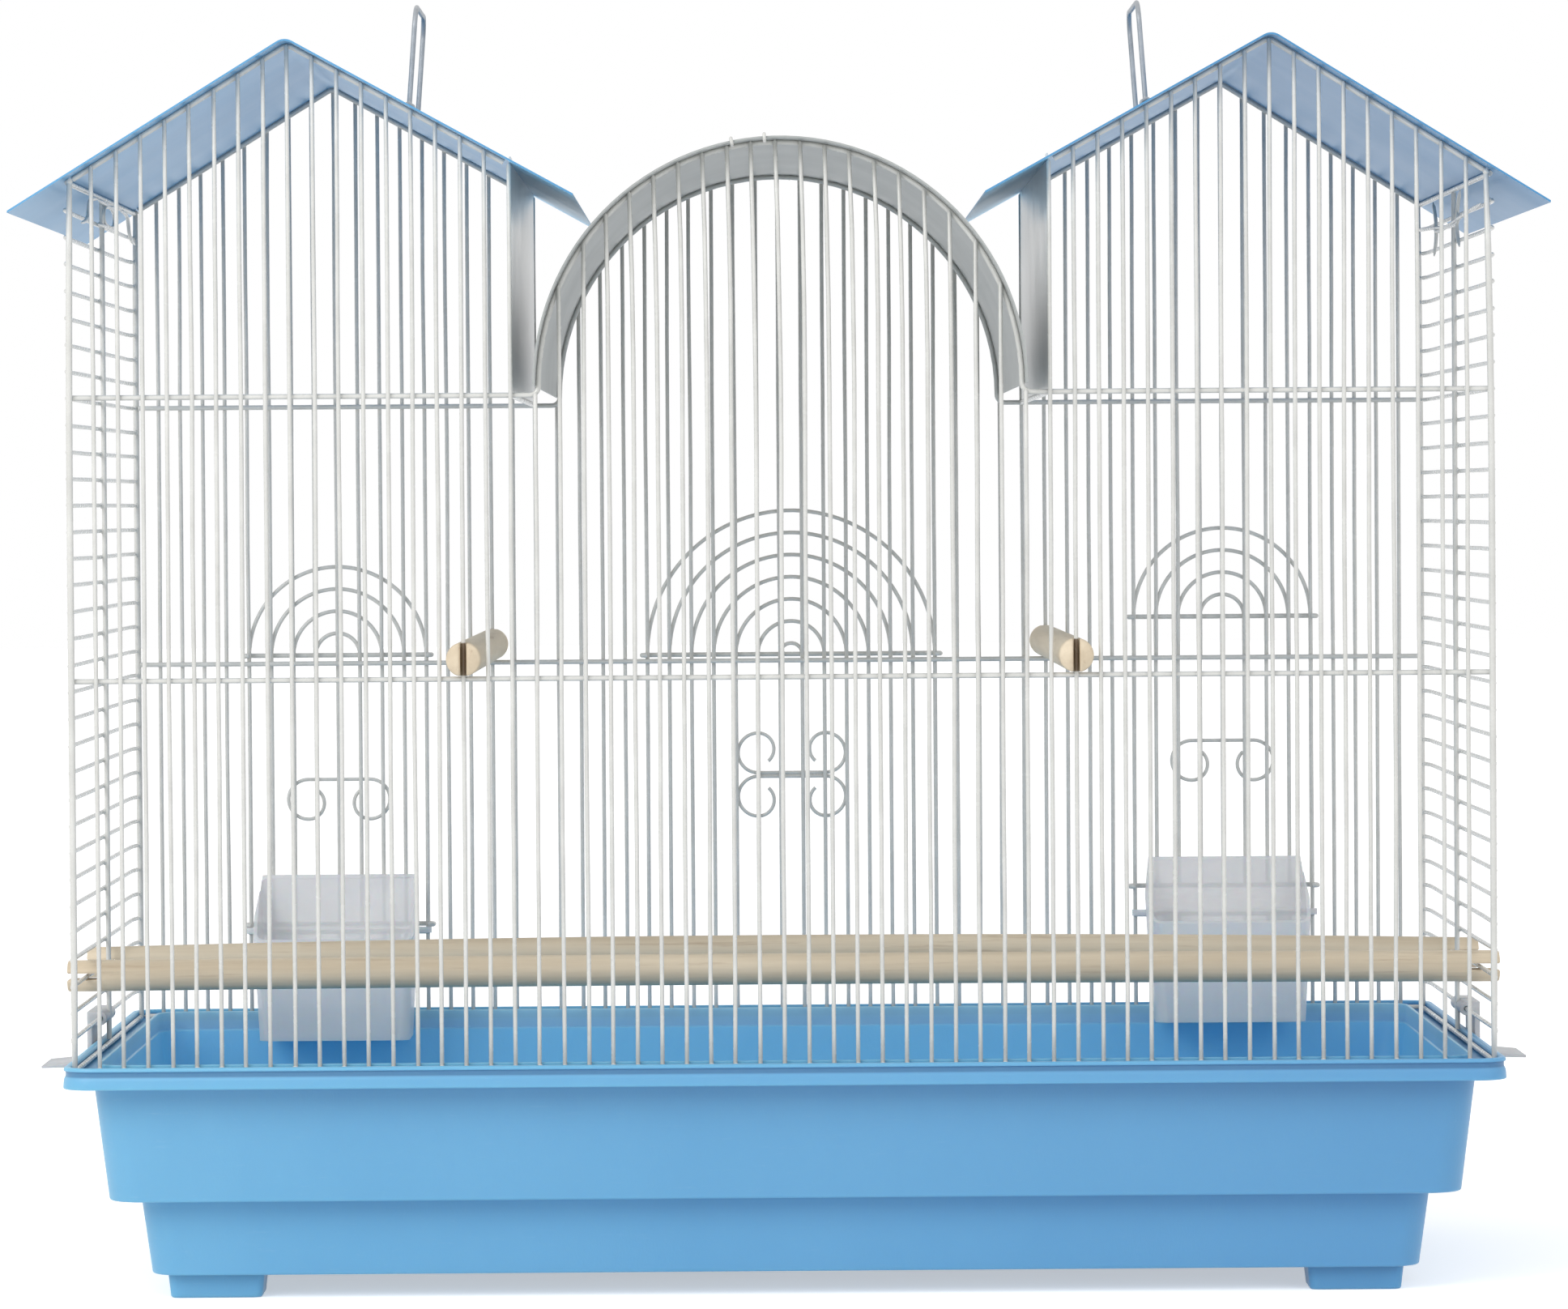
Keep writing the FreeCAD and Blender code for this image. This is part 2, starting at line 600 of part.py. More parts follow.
def side_wall(name, side):
    """A side wall: front-to-back wires outside the posts, a top rail, a bottom rail and a middle upright."""
    wires = []
    start_y = "-(wall_spacing + post_dia) / 2"
    count = int(value("(%s - wire_dia - %s) / side_pitch" % (TOP_RAIL_LEVEL, side_level(0)))) + 1
    for index in range(count):
        place = ("%d * %s" % (side, SIDE_WIRE_X), start_y, side_level(index))
        wires.append(rod(place, "wall_spacing + post_dia", "wire_dia", ALONG_Y))
    group(name + "_wires", wires)
    rail_x = "%d * %s" % (side, POST_X)
    rail_y = "-%s / 2" % SIDE_RAIL_LENGTH
    keep(rod((rail_x, rail_y, BOTTOM_RAIL_LEVEL), SIDE_RAIL_LENGTH, "rail_dia", ALONG_Y),
         name + "_bottom_rail")
    keep(rod((rail_x, rail_y, TOP_RAIL_LEVEL), SIDE_RAIL_LENGTH, "rail_dia", ALONG_Y), name + "_top_rail")
    foot = "(%s + rail_dia / 2 + weld_gap)" % BOTTOM_RAIL_LEVEL
    upright_x = "%d * (%s + post_dia / 2 - rail_dia / 2)" % (side, POST_X)
    keep(rod((upright_x, "0", foot), "%s - rail_dia / 2 - weld_gap - %s" % (TOP_RAIL_LEVEL, foot),
             "rail_dia", ALONG_Z), name + "_upright")


def corner_posts():
    """The four thicker uprights at the corners."""
    posts = []
    for side_x, side_y in ((-1, -1), (1, -1), (-1, 1), (1, 1)):
        place = ("%d * %s" % (side_x, POST_X), "%d * %s" % (side_y, WALL_Y), WIRE_FOOT)
        height = "%s - %s" % (wire_top(POST_PITCHES, "post_dia"), WIRE_FOOT)
        posts.append(rod(place, height, "post_dia", ALONG_Z))
    group("corner_posts", posts)


def valley_rails():
    """The two front-to-back rails under the inner gable panels."""
    length = "2 * (%s - rail_dia / 2 - weld_gap)" % RAIL_Y
    group("valley_rails", [
        rod(("%d * %s" % (side, PANEL_X), "-(%s) / 2" % length, EAVE_RAIL_LEVEL), length, "rail_dia", ALONG_Y)
        for side in (-1, 1)])


def inner_panel(name, side):
    """The flat sheet that closes a gable bay towards the barrel roof. Two tabs on its top edge stand through
    slots in the gable roof."""
    body = new_body(name)
    sketch = new_sketch(body, "panel_outline", "YZ_Plane", "%d * %s" % (side, PANEL_X))
    edge = "(%s - wire_dia / 2 - weld_gap)" % WALL_Y
    foot = "(%s + rail_dia / 2 + weld_gap)" % EAVE_RAIL_LEVEL
    head = "(%s - (%s - %s + sheet_gauge / 2) * %s - sheet_gauge * %s - weld_gap)" % (
        RIDGE_LEVEL, RIDGE_X, PANEL_X, INNER_SLOPE, INNER_STRETCH)
    tab_top = "(%s + sheet_gauge * %s + tab_rise)" % (head, INNER_STRETCH)
    tab_inner = "(%s - tab_inset - tab_width / 2)" % WALL_Y
    tab_outer = "(%s - tab_inset + tab_width / 2)" % WALL_Y
    far_half = [(edge, foot), (edge, head), (tab_outer, head), (tab_outer, tab_top),
                (tab_inner, tab_top), (tab_inner, head)]
    near_half = [("-" + across, up) for across, up in reversed(far_half)]
    outline(sketch, far_half + near_half)
    extrude(body, "Pad", "panel", sketch, "sheet_gauge", midplane=True)


def gable_roof(name, side):
    """A folded sheet roof, with a slot for each tab of the inner panel."""
    body = new_body(name)
    sketch = new_sketch(body, "roof_section", "XZ_Plane")
    inner_x = "(%s - inner_eave_overhang)" % PANEL_X
    outer_x = "(%s + outer_eave_overhang)" % POST_X
    outer_level = "(%s - outer_eave_drop)" % RIDGE_LEVEL
    apex_shift = "(sheet_gauge * (%s - %s) / (%s + %s))" % (
        INNER_STRETCH, OUTER_STRETCH, INNER_SLOPE, OUTER_SLOPE)
    apex_level = "(%s - %s * %s - sheet_gauge * %s)" % (RIDGE_LEVEL, apex_shift, OUTER_SLOPE, OUTER_STRETCH)
    corners = [(inner_x, INNER_EAVE_LEVEL), (RIDGE_X, RIDGE_LEVEL), (outer_x, outer_level),
               (outer_x, "(%s - sheet_gauge * %s)" % (outer_level, OUTER_STRETCH)),
               ("(%s + %s)" % (RIDGE_X, apex_shift), apex_level),
               (inner_x, "(%s - sheet_gauge * %s)" % (INNER_EAVE_LEVEL, INNER_STRETCH))]
    outline(sketch, [("%d * %s" % (side, across), up) for across, up in corners])
    folded = extrude(body, "Pad", "folded_sheet", sketch, ROOF_DEPTH, midplane=True)
    doc.recompute()
    for bend_name, level, radius in (("outside_bend", RIDGE_LEVEL, "ridge_bend + sheet_gauge"),
                                     ("inside_bend", apex_level, "ridge_bend")):
        edges = ["Edge%d" % number for number, edge in enumerate(folded.Shape.Edges, start=1)
                 if abs(edge.CenterOfMass.z - value(level)) < value("weld_gap")
                 and edge.Length > value("%s - sheet_gauge" % ROOF_DEPTH)]
        bend = body.newObject("PartDesign::Fillet", bend_name)
        bend.Base = (folded, edges)
        bind(bend, "Radius", radius)
        doc.recompute()
        folded = bend
    slots = new_sketch(body, "tab_slots", "XY_Plane", "(%s + overrun)" % RIDGE_LEVEL)
    for hand in (-1, 1):
        rectangle(slots, "(%d * %s - sheet_gauge / 2 - slot_gap)" % (side, PANEL_X),
                  "(%d * %s + sheet_gauge / 2 + slot_gap)" % (side, PANEL_X),
                  "(%d * (%s - tab_inset) - tab_width / 2 - slot_gap)" % (hand, WALL_Y),
                  "(%d * (%s - tab_inset) + tab_width / 2 + slot_gap)" % (hand, WALL_Y))
    extrude(body, "Pocket", "tab_slot_cuts", slots, "inner_eave_drop + 2 * overrun")


def arch_roof():
    """The barrel roof: half a round of sheet."""
    body = new_body("arch_roof")
    sketch = new_sketch(body, "sheet_section", "XY_Plane", ARCH_CENTRE)
    rectangle(sketch, "(%s - sheet_gauge)" % ARCH_RADIUS, ARCH_RADIUS, "-%s / 2" % ROOF_DEPTH,
              "%s / 2" % ROOF_DEPTH)
    barrel = body.newObject("PartDesign::Revolution", "barrel")
    barrel.Profile = sketch
    barrel.ReferenceAxis = (sketch, ["V_Axis"])
    barrel.Angle = HALF_TURN
    barrel.Reversed = True


def arch_clips():
    """Two wire clips that grip the barrel roof's edge at each end, near its top."""
    radius = value(ARCH_RADIUS)
    thickness = value("clip_wire")
    stand_off = value("clip_wire / 2 + clip_gap")
    outside = radius + stand_off
    inside = radius - value("sheet_gauge") - stand_off
    bend = (outside - inside) / 2 - value("weld_gap") / 2
    solids = []
    for side in (-1, 1):
        edge = side * (value(ROOF_DEPTH) / 2 + stand_off)
        tail = edge - side * value("clip_length")
        for offset in (-0.5, 0.5):
            place = side * value("clip_place") + offset * value("clip_spacing")
            points = [Vector(0, tail, outside), Vector(0, edge, outside), Vector(0, edge, inside),
                      Vector(0, tail, inside)]
            clip = bent_wire(points, [bend, bend], thickness)
            clip.rotate(Vector(), Vector(0, 1, 0), math.degrees(place / radius))
            clip.translate(Vector(0, 0, value(ARCH_CENTRE)))
            solids.append(clip)
    formed("arch_clips", solids)


def door_wires(door):
    """The nested hoops of a door. Their legs run down to the bottom bar. Where the hoops stand about one of
    the wall's wires, a straight wire fills the middle."""
    first, last = door["guides"]
    half_count = (last - first) / 2
    middle = value("wire_pitch") * (first + last) / 2
    depth = value(DOOR_Y)
    spring = value(door["crossbar"])
    foot = value("%s - rail_dia / 2" % door["foot"])
    solids = []
    for index in range(math.ceil(half_count)):
        radius = (half_count - index) * value("wire_pitch")
        left = middle - radius
        right = middle + radius
        edges = [
            Part.LineSegment(Vector(left, depth, foot), Vector(left, depth, spring)),
            Part.Arc(Vector(left, depth, spring), Vector(middle, depth, spring + radius),
                     Vector(right, depth, spring)),
            Part.LineSegment(Vector(right, depth, spring), Vector(right, depth, foot)),
        ]
        solids.append(swept([edge.toShape() for edge in edges], value("wire_dia")))
    if half_count == int(half_count):
        height = spring + value("rail_dia / 2") - foot
        solids.append(Part.makeCylinder(value("wire_dia / 2"), height, Vector(middle, depth, foot)))
    formed(door["name"] + "_wires", solids)


def door_bar(name, door, level):
    """A bar across a door, outside its wires, with both ends hooked round the guide wires of the wall."""
    first, last = [value("wire_pitch") * guide for guide in door["guides"]]
    reach = value(HOOK_REACH)
    front = value(CROSSBAR_Y)
    back = value(HOOK_Y)
    points = [Vector(first, back, level), Vector(first - reach, back, level), Vector(first - reach, front, level),
              Vector(last + reach, front, level), Vector(last + reach, back, level), Vector(last, back, level)]
    formed(name, [bent_wire(points, [value("hook_bend")] * 4, value("rail_dia"))])


def scroll(middle, level, rise, bar):
    """A decorative wire: a straight bar whose ends curl up (rise 1) or down (rise -1) and in."""
    depth = value(SCROLL_Y)
    outer = value("curl_outer")
    inner = value("curl_inner")

    def curl(hand):
        """The two arcs of one curl, each as three points, from the wire's tip to the bar."""
        centre_x = middle + hand * bar / 2

        def at(radius, centre_up, angle):
            across = centre_x - hand * radius * math.cos(math.radians(angle))
            return Vector(across, depth, level + rise * (centre_up + radius * math.sin(math.radians(angle))))

        tail = [at(inner, 2 * outer - inner, angle)
                for angle in (CURL_END, (CURL_END + QUARTER_TURN) / 2, QUARTER_TURN)]
        belly = [at(outer, outer, angle)
                 for angle in (QUARTER_TURN, HALF_TURN, HALF_TURN + QUARTER_TURN)]
        return [tail, belly]

    left = curl(-1)
    right = [arc[::-1] for arc in reversed(curl(1))]
    edges = [Part.Arc(*arc).toShape() for arc in left]
    edges.append(Part.LineSegment(left[-1][-1], right[0][0]).toShape())
    edges += [Part.Arc(*arc).toShape() for arc in right]
    return swept(edges, value("scroll_wire"))


def doors():
    """The three sliding doors: hoops, two bars and scrolls each."""
    for door in DOORS:
        crossbar = value(door["crossbar"])
        door_wires(door)
        door_bar(door["name"] + "_crossbar", door, crossbar)
        door_bar(door["name"] + "_bottom_bar", door, value(door["foot"]))
        middle = value("wire_pitch") * sum(door["guides"]) / 2
        if door is MAIN_DOOR:
            level = crossbar - value("main_scroll_drop")
            offset = value("(scroll_wire + weld_gap) / 2")
            bar = value("main_scroll_bar")
            formed("main_door_scrolls", [scroll(middle, level + rise * offset, rise, bar) for rise in (1, -1)])
        else:
            level = crossbar - value("small_scroll_drop")
            formed(door["name"] + "_scroll", [scroll(middle, level, -1, value("small_scroll_bar"))])


def cup(name, door, raise_by):
    """A scoop-shaped seed cup inside a small doorway, with two hooks over the sill."""
    back_y = "(%s - rail_dia / 2 - cup_gap)" % RAIL_Y
    first, last = door["guides"]
    middle = (first + last) // 2
    body = new_body(name, ("%d * wire_pitch" % middle, "%s - cup_depth / 2" % back_y, raise_by))
    cup_top = "(%s + cup_top_rise)" % SMALL_SILL_LEVEL
    cup_bottom = "(%s - cup_height)" % cup_top
    lip_level = "(%s - cup_lip_drop)" % cup_top
    shoulder_level = "(%s + cup_shoulder_rise)" % SMALL_SILL_LEVEL
    half_depth = "(cup_depth / 2)"
    foot_width = "(cup_width - 2 * cup_draft)"
    foot_depth = "(cup_depth - 2 * cup_draft)"

    def section(section_name, level, width, depth, corner):
        sketch = new_sketch(body, section_name, "XY_Plane", level)
        rounded_rectangle(sketch, width, depth, corner)
        return sketch

    low = section("foot_outline", cup_bottom, foot_width, foot_depth, "cup_corner")
    high = section("top_outline", cup_top, "cup_width", "cup_depth", "cup_corner")
    loft(body, "AdditiveLoft", "block", low, high)
    slope = new_sketch(body, "scoop_slope", "YZ_Plane")
    front = "(0 - %s - overrun)" % half_depth
    plate = "(%s - cup_wall)" % half_depth
    outline(slope, ((front, lip_level), ("(0 - %s)" % half_depth, lip_level),
                    (plate, "(%s - cup_wall)" % cup_top), (plate, "(%s + overrun)" % cup_top),
                    (front, "(%s + overrun)" % cup_top)))
    extrude(body, "Pocket", "scoop", slope, "cup_width + 2 * overrun", midplane=True)
    low = section("floor_outline", "(%s + cup_wall)" % cup_bottom, "(%s - 2 * cup_wall)" % foot_width,
                  "(%s - 2 * cup_wall)" % foot_depth, "(cup_corner - cup_wall)")
    high = section("mouth_outline", cup_top, "(cup_width - 2 * cup_wall)", "(cup_depth - 2 * cup_wall)",
                   "(cup_corner - cup_wall)")
    loft(body, "SubtractiveLoft", "hollow", low, high)
    corners = new_sketch(body, "top_corners", "XZ_Plane")
    for side in (-1, 1):
        outline(corners, (("%d * cup_width / 2" % side, shoulder_level),
                          ("%d * (cup_width / 2 + overrun)" % side, shoulder_level),
                          ("%d * (cup_width / 2 + overrun)" % side, "(%s + overrun)" % cup_top),
                          ("%d * cup_top_width / 2" % side, "(%s + overrun)" % cup_top)))
    extrude(body, "Pocket", "tapered_top", corners, "cup_depth + 2 * overrun", midplane=True)
    shoulders = new_sketch(body, "shoulder_outline", "YZ_Plane")
    rectangle(shoulders, plate, half_depth, "(%s - cup_shoulder_height)" % shoulder_level, shoulder_level)
    extrude(body, "Pad", "shoulders", shoulders, "cup_width + 2 * cup_shoulder_reach", midplane=True)
    hook_top = "(%s + rail_dia / 2 + seat_gap + cup_hook_wall)" % SMALL_SILL_LEVEL
    hook_foot = "(%s - cup_hook_drop)" % SMALL_SILL_LEVEL
    hook_inner = "(%s + cup_gap + rail_dia + weld_gap)" % half_depth
    hook_outer = "(%s + cup_hook_wall)" % hook_inner
    for hand in (-1, 1):
        hook = new_sketch(body, "hook_outline", "YZ_Plane", "%s * wire_pitch" % (hand * CUP_HOOK_PITCHES))
        outline(hook, ((plate, "(%s - cup_hook_wall)" % hook_top), (plate, hook_top), (hook_outer, hook_top),
                       (hook_outer, hook_foot), (hook_inner, hook_foot),
                       (hook_inner, "(%s - cup_hook_wall)" % hook_top)))
        extrude(body, "Pad", "hook", hook, "cup_hook_width", midplane=True)


def long_perch(name, place_y):
    """A round wooden perch from side wall to side wall, with a kerf in each end over a side wire."""
    body = new_body(name, ("0", place_y, side_level(PERCH_WIRE)))
    section = new_sketch(body, "perch_section", "YZ_Plane")
    disc(section, "0", "0", "long_perch_dia")
    extrude(body, "Pad", "dowel", section, LONG_PERCH_LENGTH, midplane=True)
    kerf = new_sketch(body, "kerf_outline", "XZ_Plane")
    inner = "(%s - perch_slot_inside)" % POST_X
    outer = "(%s / 2 + overrun)" % LONG_PERCH_LENGTH
    rectangle(kerf, inner, outer, "-perch_slot_width / 2", "perch_slot_width / 2")
    rectangle(kerf, "-" + outer, "-" + inner, "-perch_slot_width / 2", "perch_slot_width / 2")
    extrude(body, "Pocket", "kerfs", kerf, "long_perch_dia + overrun", midplane=True)


def short_perch(name, pitches):
    """A round wooden perch that lies on the lower rails, with a slot in each end over an upright wire."""
    level = "(%s + rail_dia / 2 + weld_gap + short_perch_dia / 2)" % LOWER_RAIL_LEVEL
    body = new_body(name, ("%d * wire_pitch" % pitches, "0", level))
    section = new_sketch(body, "perch_section", "XZ_Plane")
    disc(section, "0", "0", "short_perch_dia")
    extrude(body, "Pad", "dowel", section, "wall_spacing + 2 * short_perch_overhang", midplane=True)
    slot = new_sketch(body, "slot_outline", "XY_Plane")
    inner = "(%s - perch_slot_inside)" % WALL_Y
    outer = "(%s + short_perch_overhang + overrun)" % WALL_Y
    rectangle(slot, "-perch_slot_width / 2", "perch_slot_width / 2", inner, outer)
    rectangle(slot, "-perch_slot_width / 2", "perch_slot_width / 2", "-" + outer, "-" + inner)
    extrude(body, "Pocket", "slots", slot, "short_perch_dia + overrun", midplane=True)


def handle(name, side):
    """A bail of wire that stands on the inner slope of a gable roof, and the two eyes that hold its feet."""
    angle = math.atan(value(INNER_SLOPE))
    normal = Vector(-side * math.sin(angle), 0, math.cos(angle))
    along = Vector(side * math.cos(angle), 0, math.sin(angle))
    across = value("%s - handle_place" % RIDGE_X)
    on_sheet = Vector(side * across, 0, value("%s - handle_place * %s" % (RIDGE_LEVEL, INNER_SLOPE)))
    axis = on_sheet + normal * value("handle_wire / 2 + eye_gap")
    lean = math.radians(HANDLE_LEAN)
    top = Vector(-side * math.sin(lean), 0, math.cos(lean)) * value("handle_height")
    leg = Vector(0, value("handle_span / 2"), 0)
    foot = Vector(0, value("handle_span / 2 + handle_foot"), 0)
    points = [axis - foot, axis - leg, axis - leg + top, axis + leg + top, axis + leg, axis + foot]
    bends = [value(bend) for bend in ("handle_foot_bend", "handle_top_bend", "handle_top_bend",
                                      "handle_foot_bend")]
    formed(name, [bent_wire(points, bends, value("handle_wire"))])
    low = value("eye_wire / 2 + weld_gap")
    high = value("handle_wire + 2 * eye_gap + eye_wire / 2")
    rises = [(-value("eye_reach"), low), (-value("eye_knee"), low), (-value("eye_head"), high),
             (value("eye_head"), high), (value("eye_knee"), low), (value("eye_reach"), low)]
    eyes = []
    for hand in (-1, 1):
        place = on_sheet + Vector(0, hand * value("handle_span / 2 + eye_place"), 0)
        points = [place + along * run + normal * rise for run, rise in rises]
        eyes.append(bent_wire(points, [value("eye_bend")] * 4, value("eye_wire")))
    formed(name + "_eyes", eyes)


def latch(name, side):
    """A side latch: an eye that turns on the lowest side wire, a plate outside the rim and a finger tab. The
    eye is parted in the middle, where the side wall's upright passes."""
    body = new_body(name)
    pin_level = side_level(0)
    pin_x = "(%s)" % SIDE_WIRE_X
    eye = "(wire_dia / 2 + latch_pin_gap + latch_eye_wall)"
    plate_inner = "(%s / 2 + latch_rim_gap)" % RIM_WIDTH
    plate_outer = "(%s + latch_wall)" % plate_inner
    tip = "(%s / 2 + latch_reach)" % RIM_WIDTH
    knee_level = "(rim_top - latch_knee_drop)"
    tip_level = "(rim_top - latch_tip_drop)"
    corners = ((pin_x, "%s + %s" % (pin_level, eye)), (plate_outer, "%s + %s" % (pin_level, eye)),
               (plate_outer, knee_level), (tip, tip_level),
               (tip, "(%s - latch_wall)" % tip_level), (plate_inner, "(%s - latch_wall)" % knee_level),
               (plate_inner, "%s - %s" % (pin_level, eye)), (pin_x, "%s - %s" % (pin_level, eye)))
    profile = new_sketch(body, "latch_profile", "XZ_Plane")
    outline(profile, [("%d * %s" % (side, across), up) for across, up in corners])
    extrude(body, "Pad", "plate", profile, "latch_width", midplane=True)
    boss = new_sketch(body, "eye_section", "XZ_Plane")
    disc(boss, "%d * %s" % (side, pin_x), pin_level, "2 * %s" % eye)
    extrude(body, "Pad", "eye", boss, "latch_width", midplane=True)
    bore = new_sketch(body, "bore_section", "XZ_Plane")
    disc(bore, "%d * %s" % (side, pin_x), pin_level, "(wire_dia + 2 * latch_pin_gap)")
    extrude(body, "Pocket", "bore", bore, "latch_width + overrun", midplane=True)
    notch = new_sketch(body, "notch_outline", "XZ_Plane")
    inner = "(%s - %s - overrun)" % (pin_x, eye)
    outer = "(%s + %s)" % (pin_x, eye)
    rectangle(notch, "%d * %s" % (side, inner), "%d * %s" % (side, outer),
              "(%s - %s - overrun)" % (pin_level, eye), "(%s + %s + overrun)" % (pin_level, eye))
    extrude(body, "Pocket", "notch", notch, "latch_notch", midplane=True)


base_tub()
plain_wall()
door_wall()
side_wall("left_wall", -1)
side_wall("right_wall", 1)
corner_posts()
valley_rails()
inner_panel("left_inner_panel", -1)
inner_panel("right_inner_panel", 1)
gable_roof("left_gable_roof", -1)
gable_roof("right_gable_roof", 1)
arch_roof()
arch_clips()
doors()
cup("left_cup", LEFT_DOOR, "0")
cup("right_cup", RIGHT_DOOR, "right_cup_raise")
long_perch("near_long_perch", "-near_perch_place")
long_perch("far_long_perch", "far_perch_place")
short_perch("left_short_perch", LEFT_PERCH_PITCHES)
short_perch("right_short_perch", RIGHT_PERCH_PITCHES)
handle("left_handle", -1)
handle("right_handle", 1)
latch("left_latch", -1)
latch("right_latch", 1)

doc.recompute()
for thing in doc.Objects:
    if "Invalid" in thing.State or "Error" in thing.State:
        raise RuntimeError("%s did not build: %s" % (thing.Label, thing.State))
for part in parts:
    if part.Shape.isNull() or not part.Shape.isValid():
        raise RuntimeError("%s has no sound shape" % part.Label)

os.makedirs("parts", exist_ok=True)
for part in parts:
    part.Shape.exportStep(os.path.join("parts", part.Label + ".step"))
    box = part.Shape.BoundBox
    print("%-26s solids %3d  volume %10.1f  x %7.1f %7.1f  y %7.1f %7.1f  z %6.1f %6.1f" % (
        part.Label, len(part.Shape.Solids), part.Shape.Volume, box.XMin, box.XMax, box.YMin, box.YMax,
        box.ZMin, box.ZMax))
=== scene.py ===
import math

import bmesh
import bpy
from mathutils import Matrix, Vector


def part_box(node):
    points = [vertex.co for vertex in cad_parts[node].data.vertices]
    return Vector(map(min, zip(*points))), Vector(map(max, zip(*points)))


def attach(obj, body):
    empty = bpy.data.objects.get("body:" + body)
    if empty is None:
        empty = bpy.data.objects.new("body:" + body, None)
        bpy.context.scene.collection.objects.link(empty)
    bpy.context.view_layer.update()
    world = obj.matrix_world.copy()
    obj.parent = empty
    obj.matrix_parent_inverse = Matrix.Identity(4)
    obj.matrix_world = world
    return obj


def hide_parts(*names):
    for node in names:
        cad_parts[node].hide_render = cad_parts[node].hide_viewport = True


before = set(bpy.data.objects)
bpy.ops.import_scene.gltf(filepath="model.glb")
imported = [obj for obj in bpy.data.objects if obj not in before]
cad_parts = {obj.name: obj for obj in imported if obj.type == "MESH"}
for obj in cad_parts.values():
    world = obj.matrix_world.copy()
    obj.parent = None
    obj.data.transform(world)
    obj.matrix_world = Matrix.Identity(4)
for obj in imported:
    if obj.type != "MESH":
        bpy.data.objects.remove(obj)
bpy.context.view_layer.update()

scene = bpy.context.scene
scene.view_settings.view_transform = "Standard"

# The viewpoint: one long lens a little above the middle of the cage, looking very slightly
# down at the plain wall, as the photograph was taken.
EYE = Vector((-0.0096, -3.154, 0.3626))
FOCAL_LENGTH = 151.4
SENSOR_WIDTH = 36.0
LOOKS_DOWN = math.radians(1.30)
LOOKS_RIGHT = math.radians(0.20)
TILT = math.radians(-0.40)

lens = bpy.data.cameras.new("photograph_view")
lens.sensor_width = SENSOR_WIDTH
lens.lens = FOCAL_LENGTH
lens.clip_start = 0.05
lens.clip_end = 60.0
camera = bpy.data.objects.new("photograph_view", lens)
scene.collection.objects.link(camera)
turn = (
    Matrix.Rotation(-LOOKS_RIGHT, 4, "Z")
    @ Matrix.Rotation(math.pi / 2 - LOOKS_DOWN, 4, "X")
    @ Matrix.Rotation(TILT, 4, "Z")
)
camera.matrix_world = Matrix.Translation(EYE) @ turn
scene.camera = camera


# The studio: a sheet of pale paper on the floor that runs back to a white surround, even light
# from all round and two broad soft lamps in front, the stronger one on the left.
def material_tree(name):
    made = bpy.data.materials.new(name)
    made.use_nodes = True
    made.node_tree.nodes.clear()
    return made, made.node_tree


def node(tree, kind, values=None, **settings):
    made = tree.nodes.new(kind)
    for key, setting in settings.items():
        setattr(made, key, setting)
    for key, entry in (values or {}).items():
        made.inputs[key].default_value = entry
    return made


def link(tree, start, out, end, into):
    tree.links.new(start.outputs[out], end.inputs[into])


def linear(red, green, blue):
    shares = (red / 255, green / 255, blue / 255)
    values = [c / 12.92 if c <= 0.04045 else ((c + 0.055) / 1.055) ** 2.4 for c in shares]
    return (*values, 1.0)


def seen_directly(tree):
    """A value of 1 for rays from the camera and for what gloss and clear plastic show of the surround."""
    path = node(tree, "ShaderNodeLightPath")
    mirrored = node(tree, "ShaderNodeMath", operation="MAXIMUM")
    link(tree, path, "Is Camera Ray", mirrored, 0)
    link(tree, path, "Is Glossy Ray", mirrored, 1)
    through = node(tree, "ShaderNodeMath", operation="MAXIMUM")
    link(tree, mirrored, 0, through, 0)
    link(tree, path, "Is Transmission Ray", through, 1)
    return through


PAPER = linear(240, 240, 240)
PAPER_FLECK = linear(243, 243, 243)
PAPER_GLOW = 0.08
PAPER_LIFT = 0.38
PAPER_HALF = 14.0
ROOM_LIGHT = 0.72
WHITE = (1.0, 1.0, 1.0, 1.0)

paper, tree = material_tree("studio_paper")
fleck = node(tree, "ShaderNodeTexNoise", {"Scale": 6.0, "Detail": 3.0})
tint = node(tree, "ShaderNodeMixRGB", {"Color1": PAPER, "Color2": PAPER_FLECK})
link(tree, fleck, "Fac", tint, "Fac")
matt = node(tree, "ShaderNodeBsdfDiffuse", {"Roughness": 0.4})
link(tree, tint, "Color", matt, "Color")
direct = seen_directly(tree)
lift = node(tree, "ShaderNodeMath", {1: PAPER_LIFT, 2: PAPER_GLOW}, operation="MULTIPLY_ADD")
link(tree, direct, 0, lift, 0)
glow = node(tree, "ShaderNodeEmission")
link(tree, lift, 0, glow, "Strength")
both = node(tree, "ShaderNodeAddShader")
link(tree, matt, 0, both, 0)
link(tree, glow, 0, both, 1)
surface = node(tree, "ShaderNodeOutputMaterial")
link(tree, both, 0, surface, "Surface")

floor_mesh = bpy.data.meshes.new("studio_floor")
floor_mesh.from_pydata(
    [(x * PAPER_HALF, y * PAPER_HALF, 0.0) for x, y in ((-1, -1), (1, -1), (1, 1), (-1, 1))],
    [],
    [(0, 1, 2, 3)],
)
floor = bpy.data.objects.new("studio_floor", floor_mesh)
floor.data.materials.append(paper)
scene.collection.objects.link(floor)

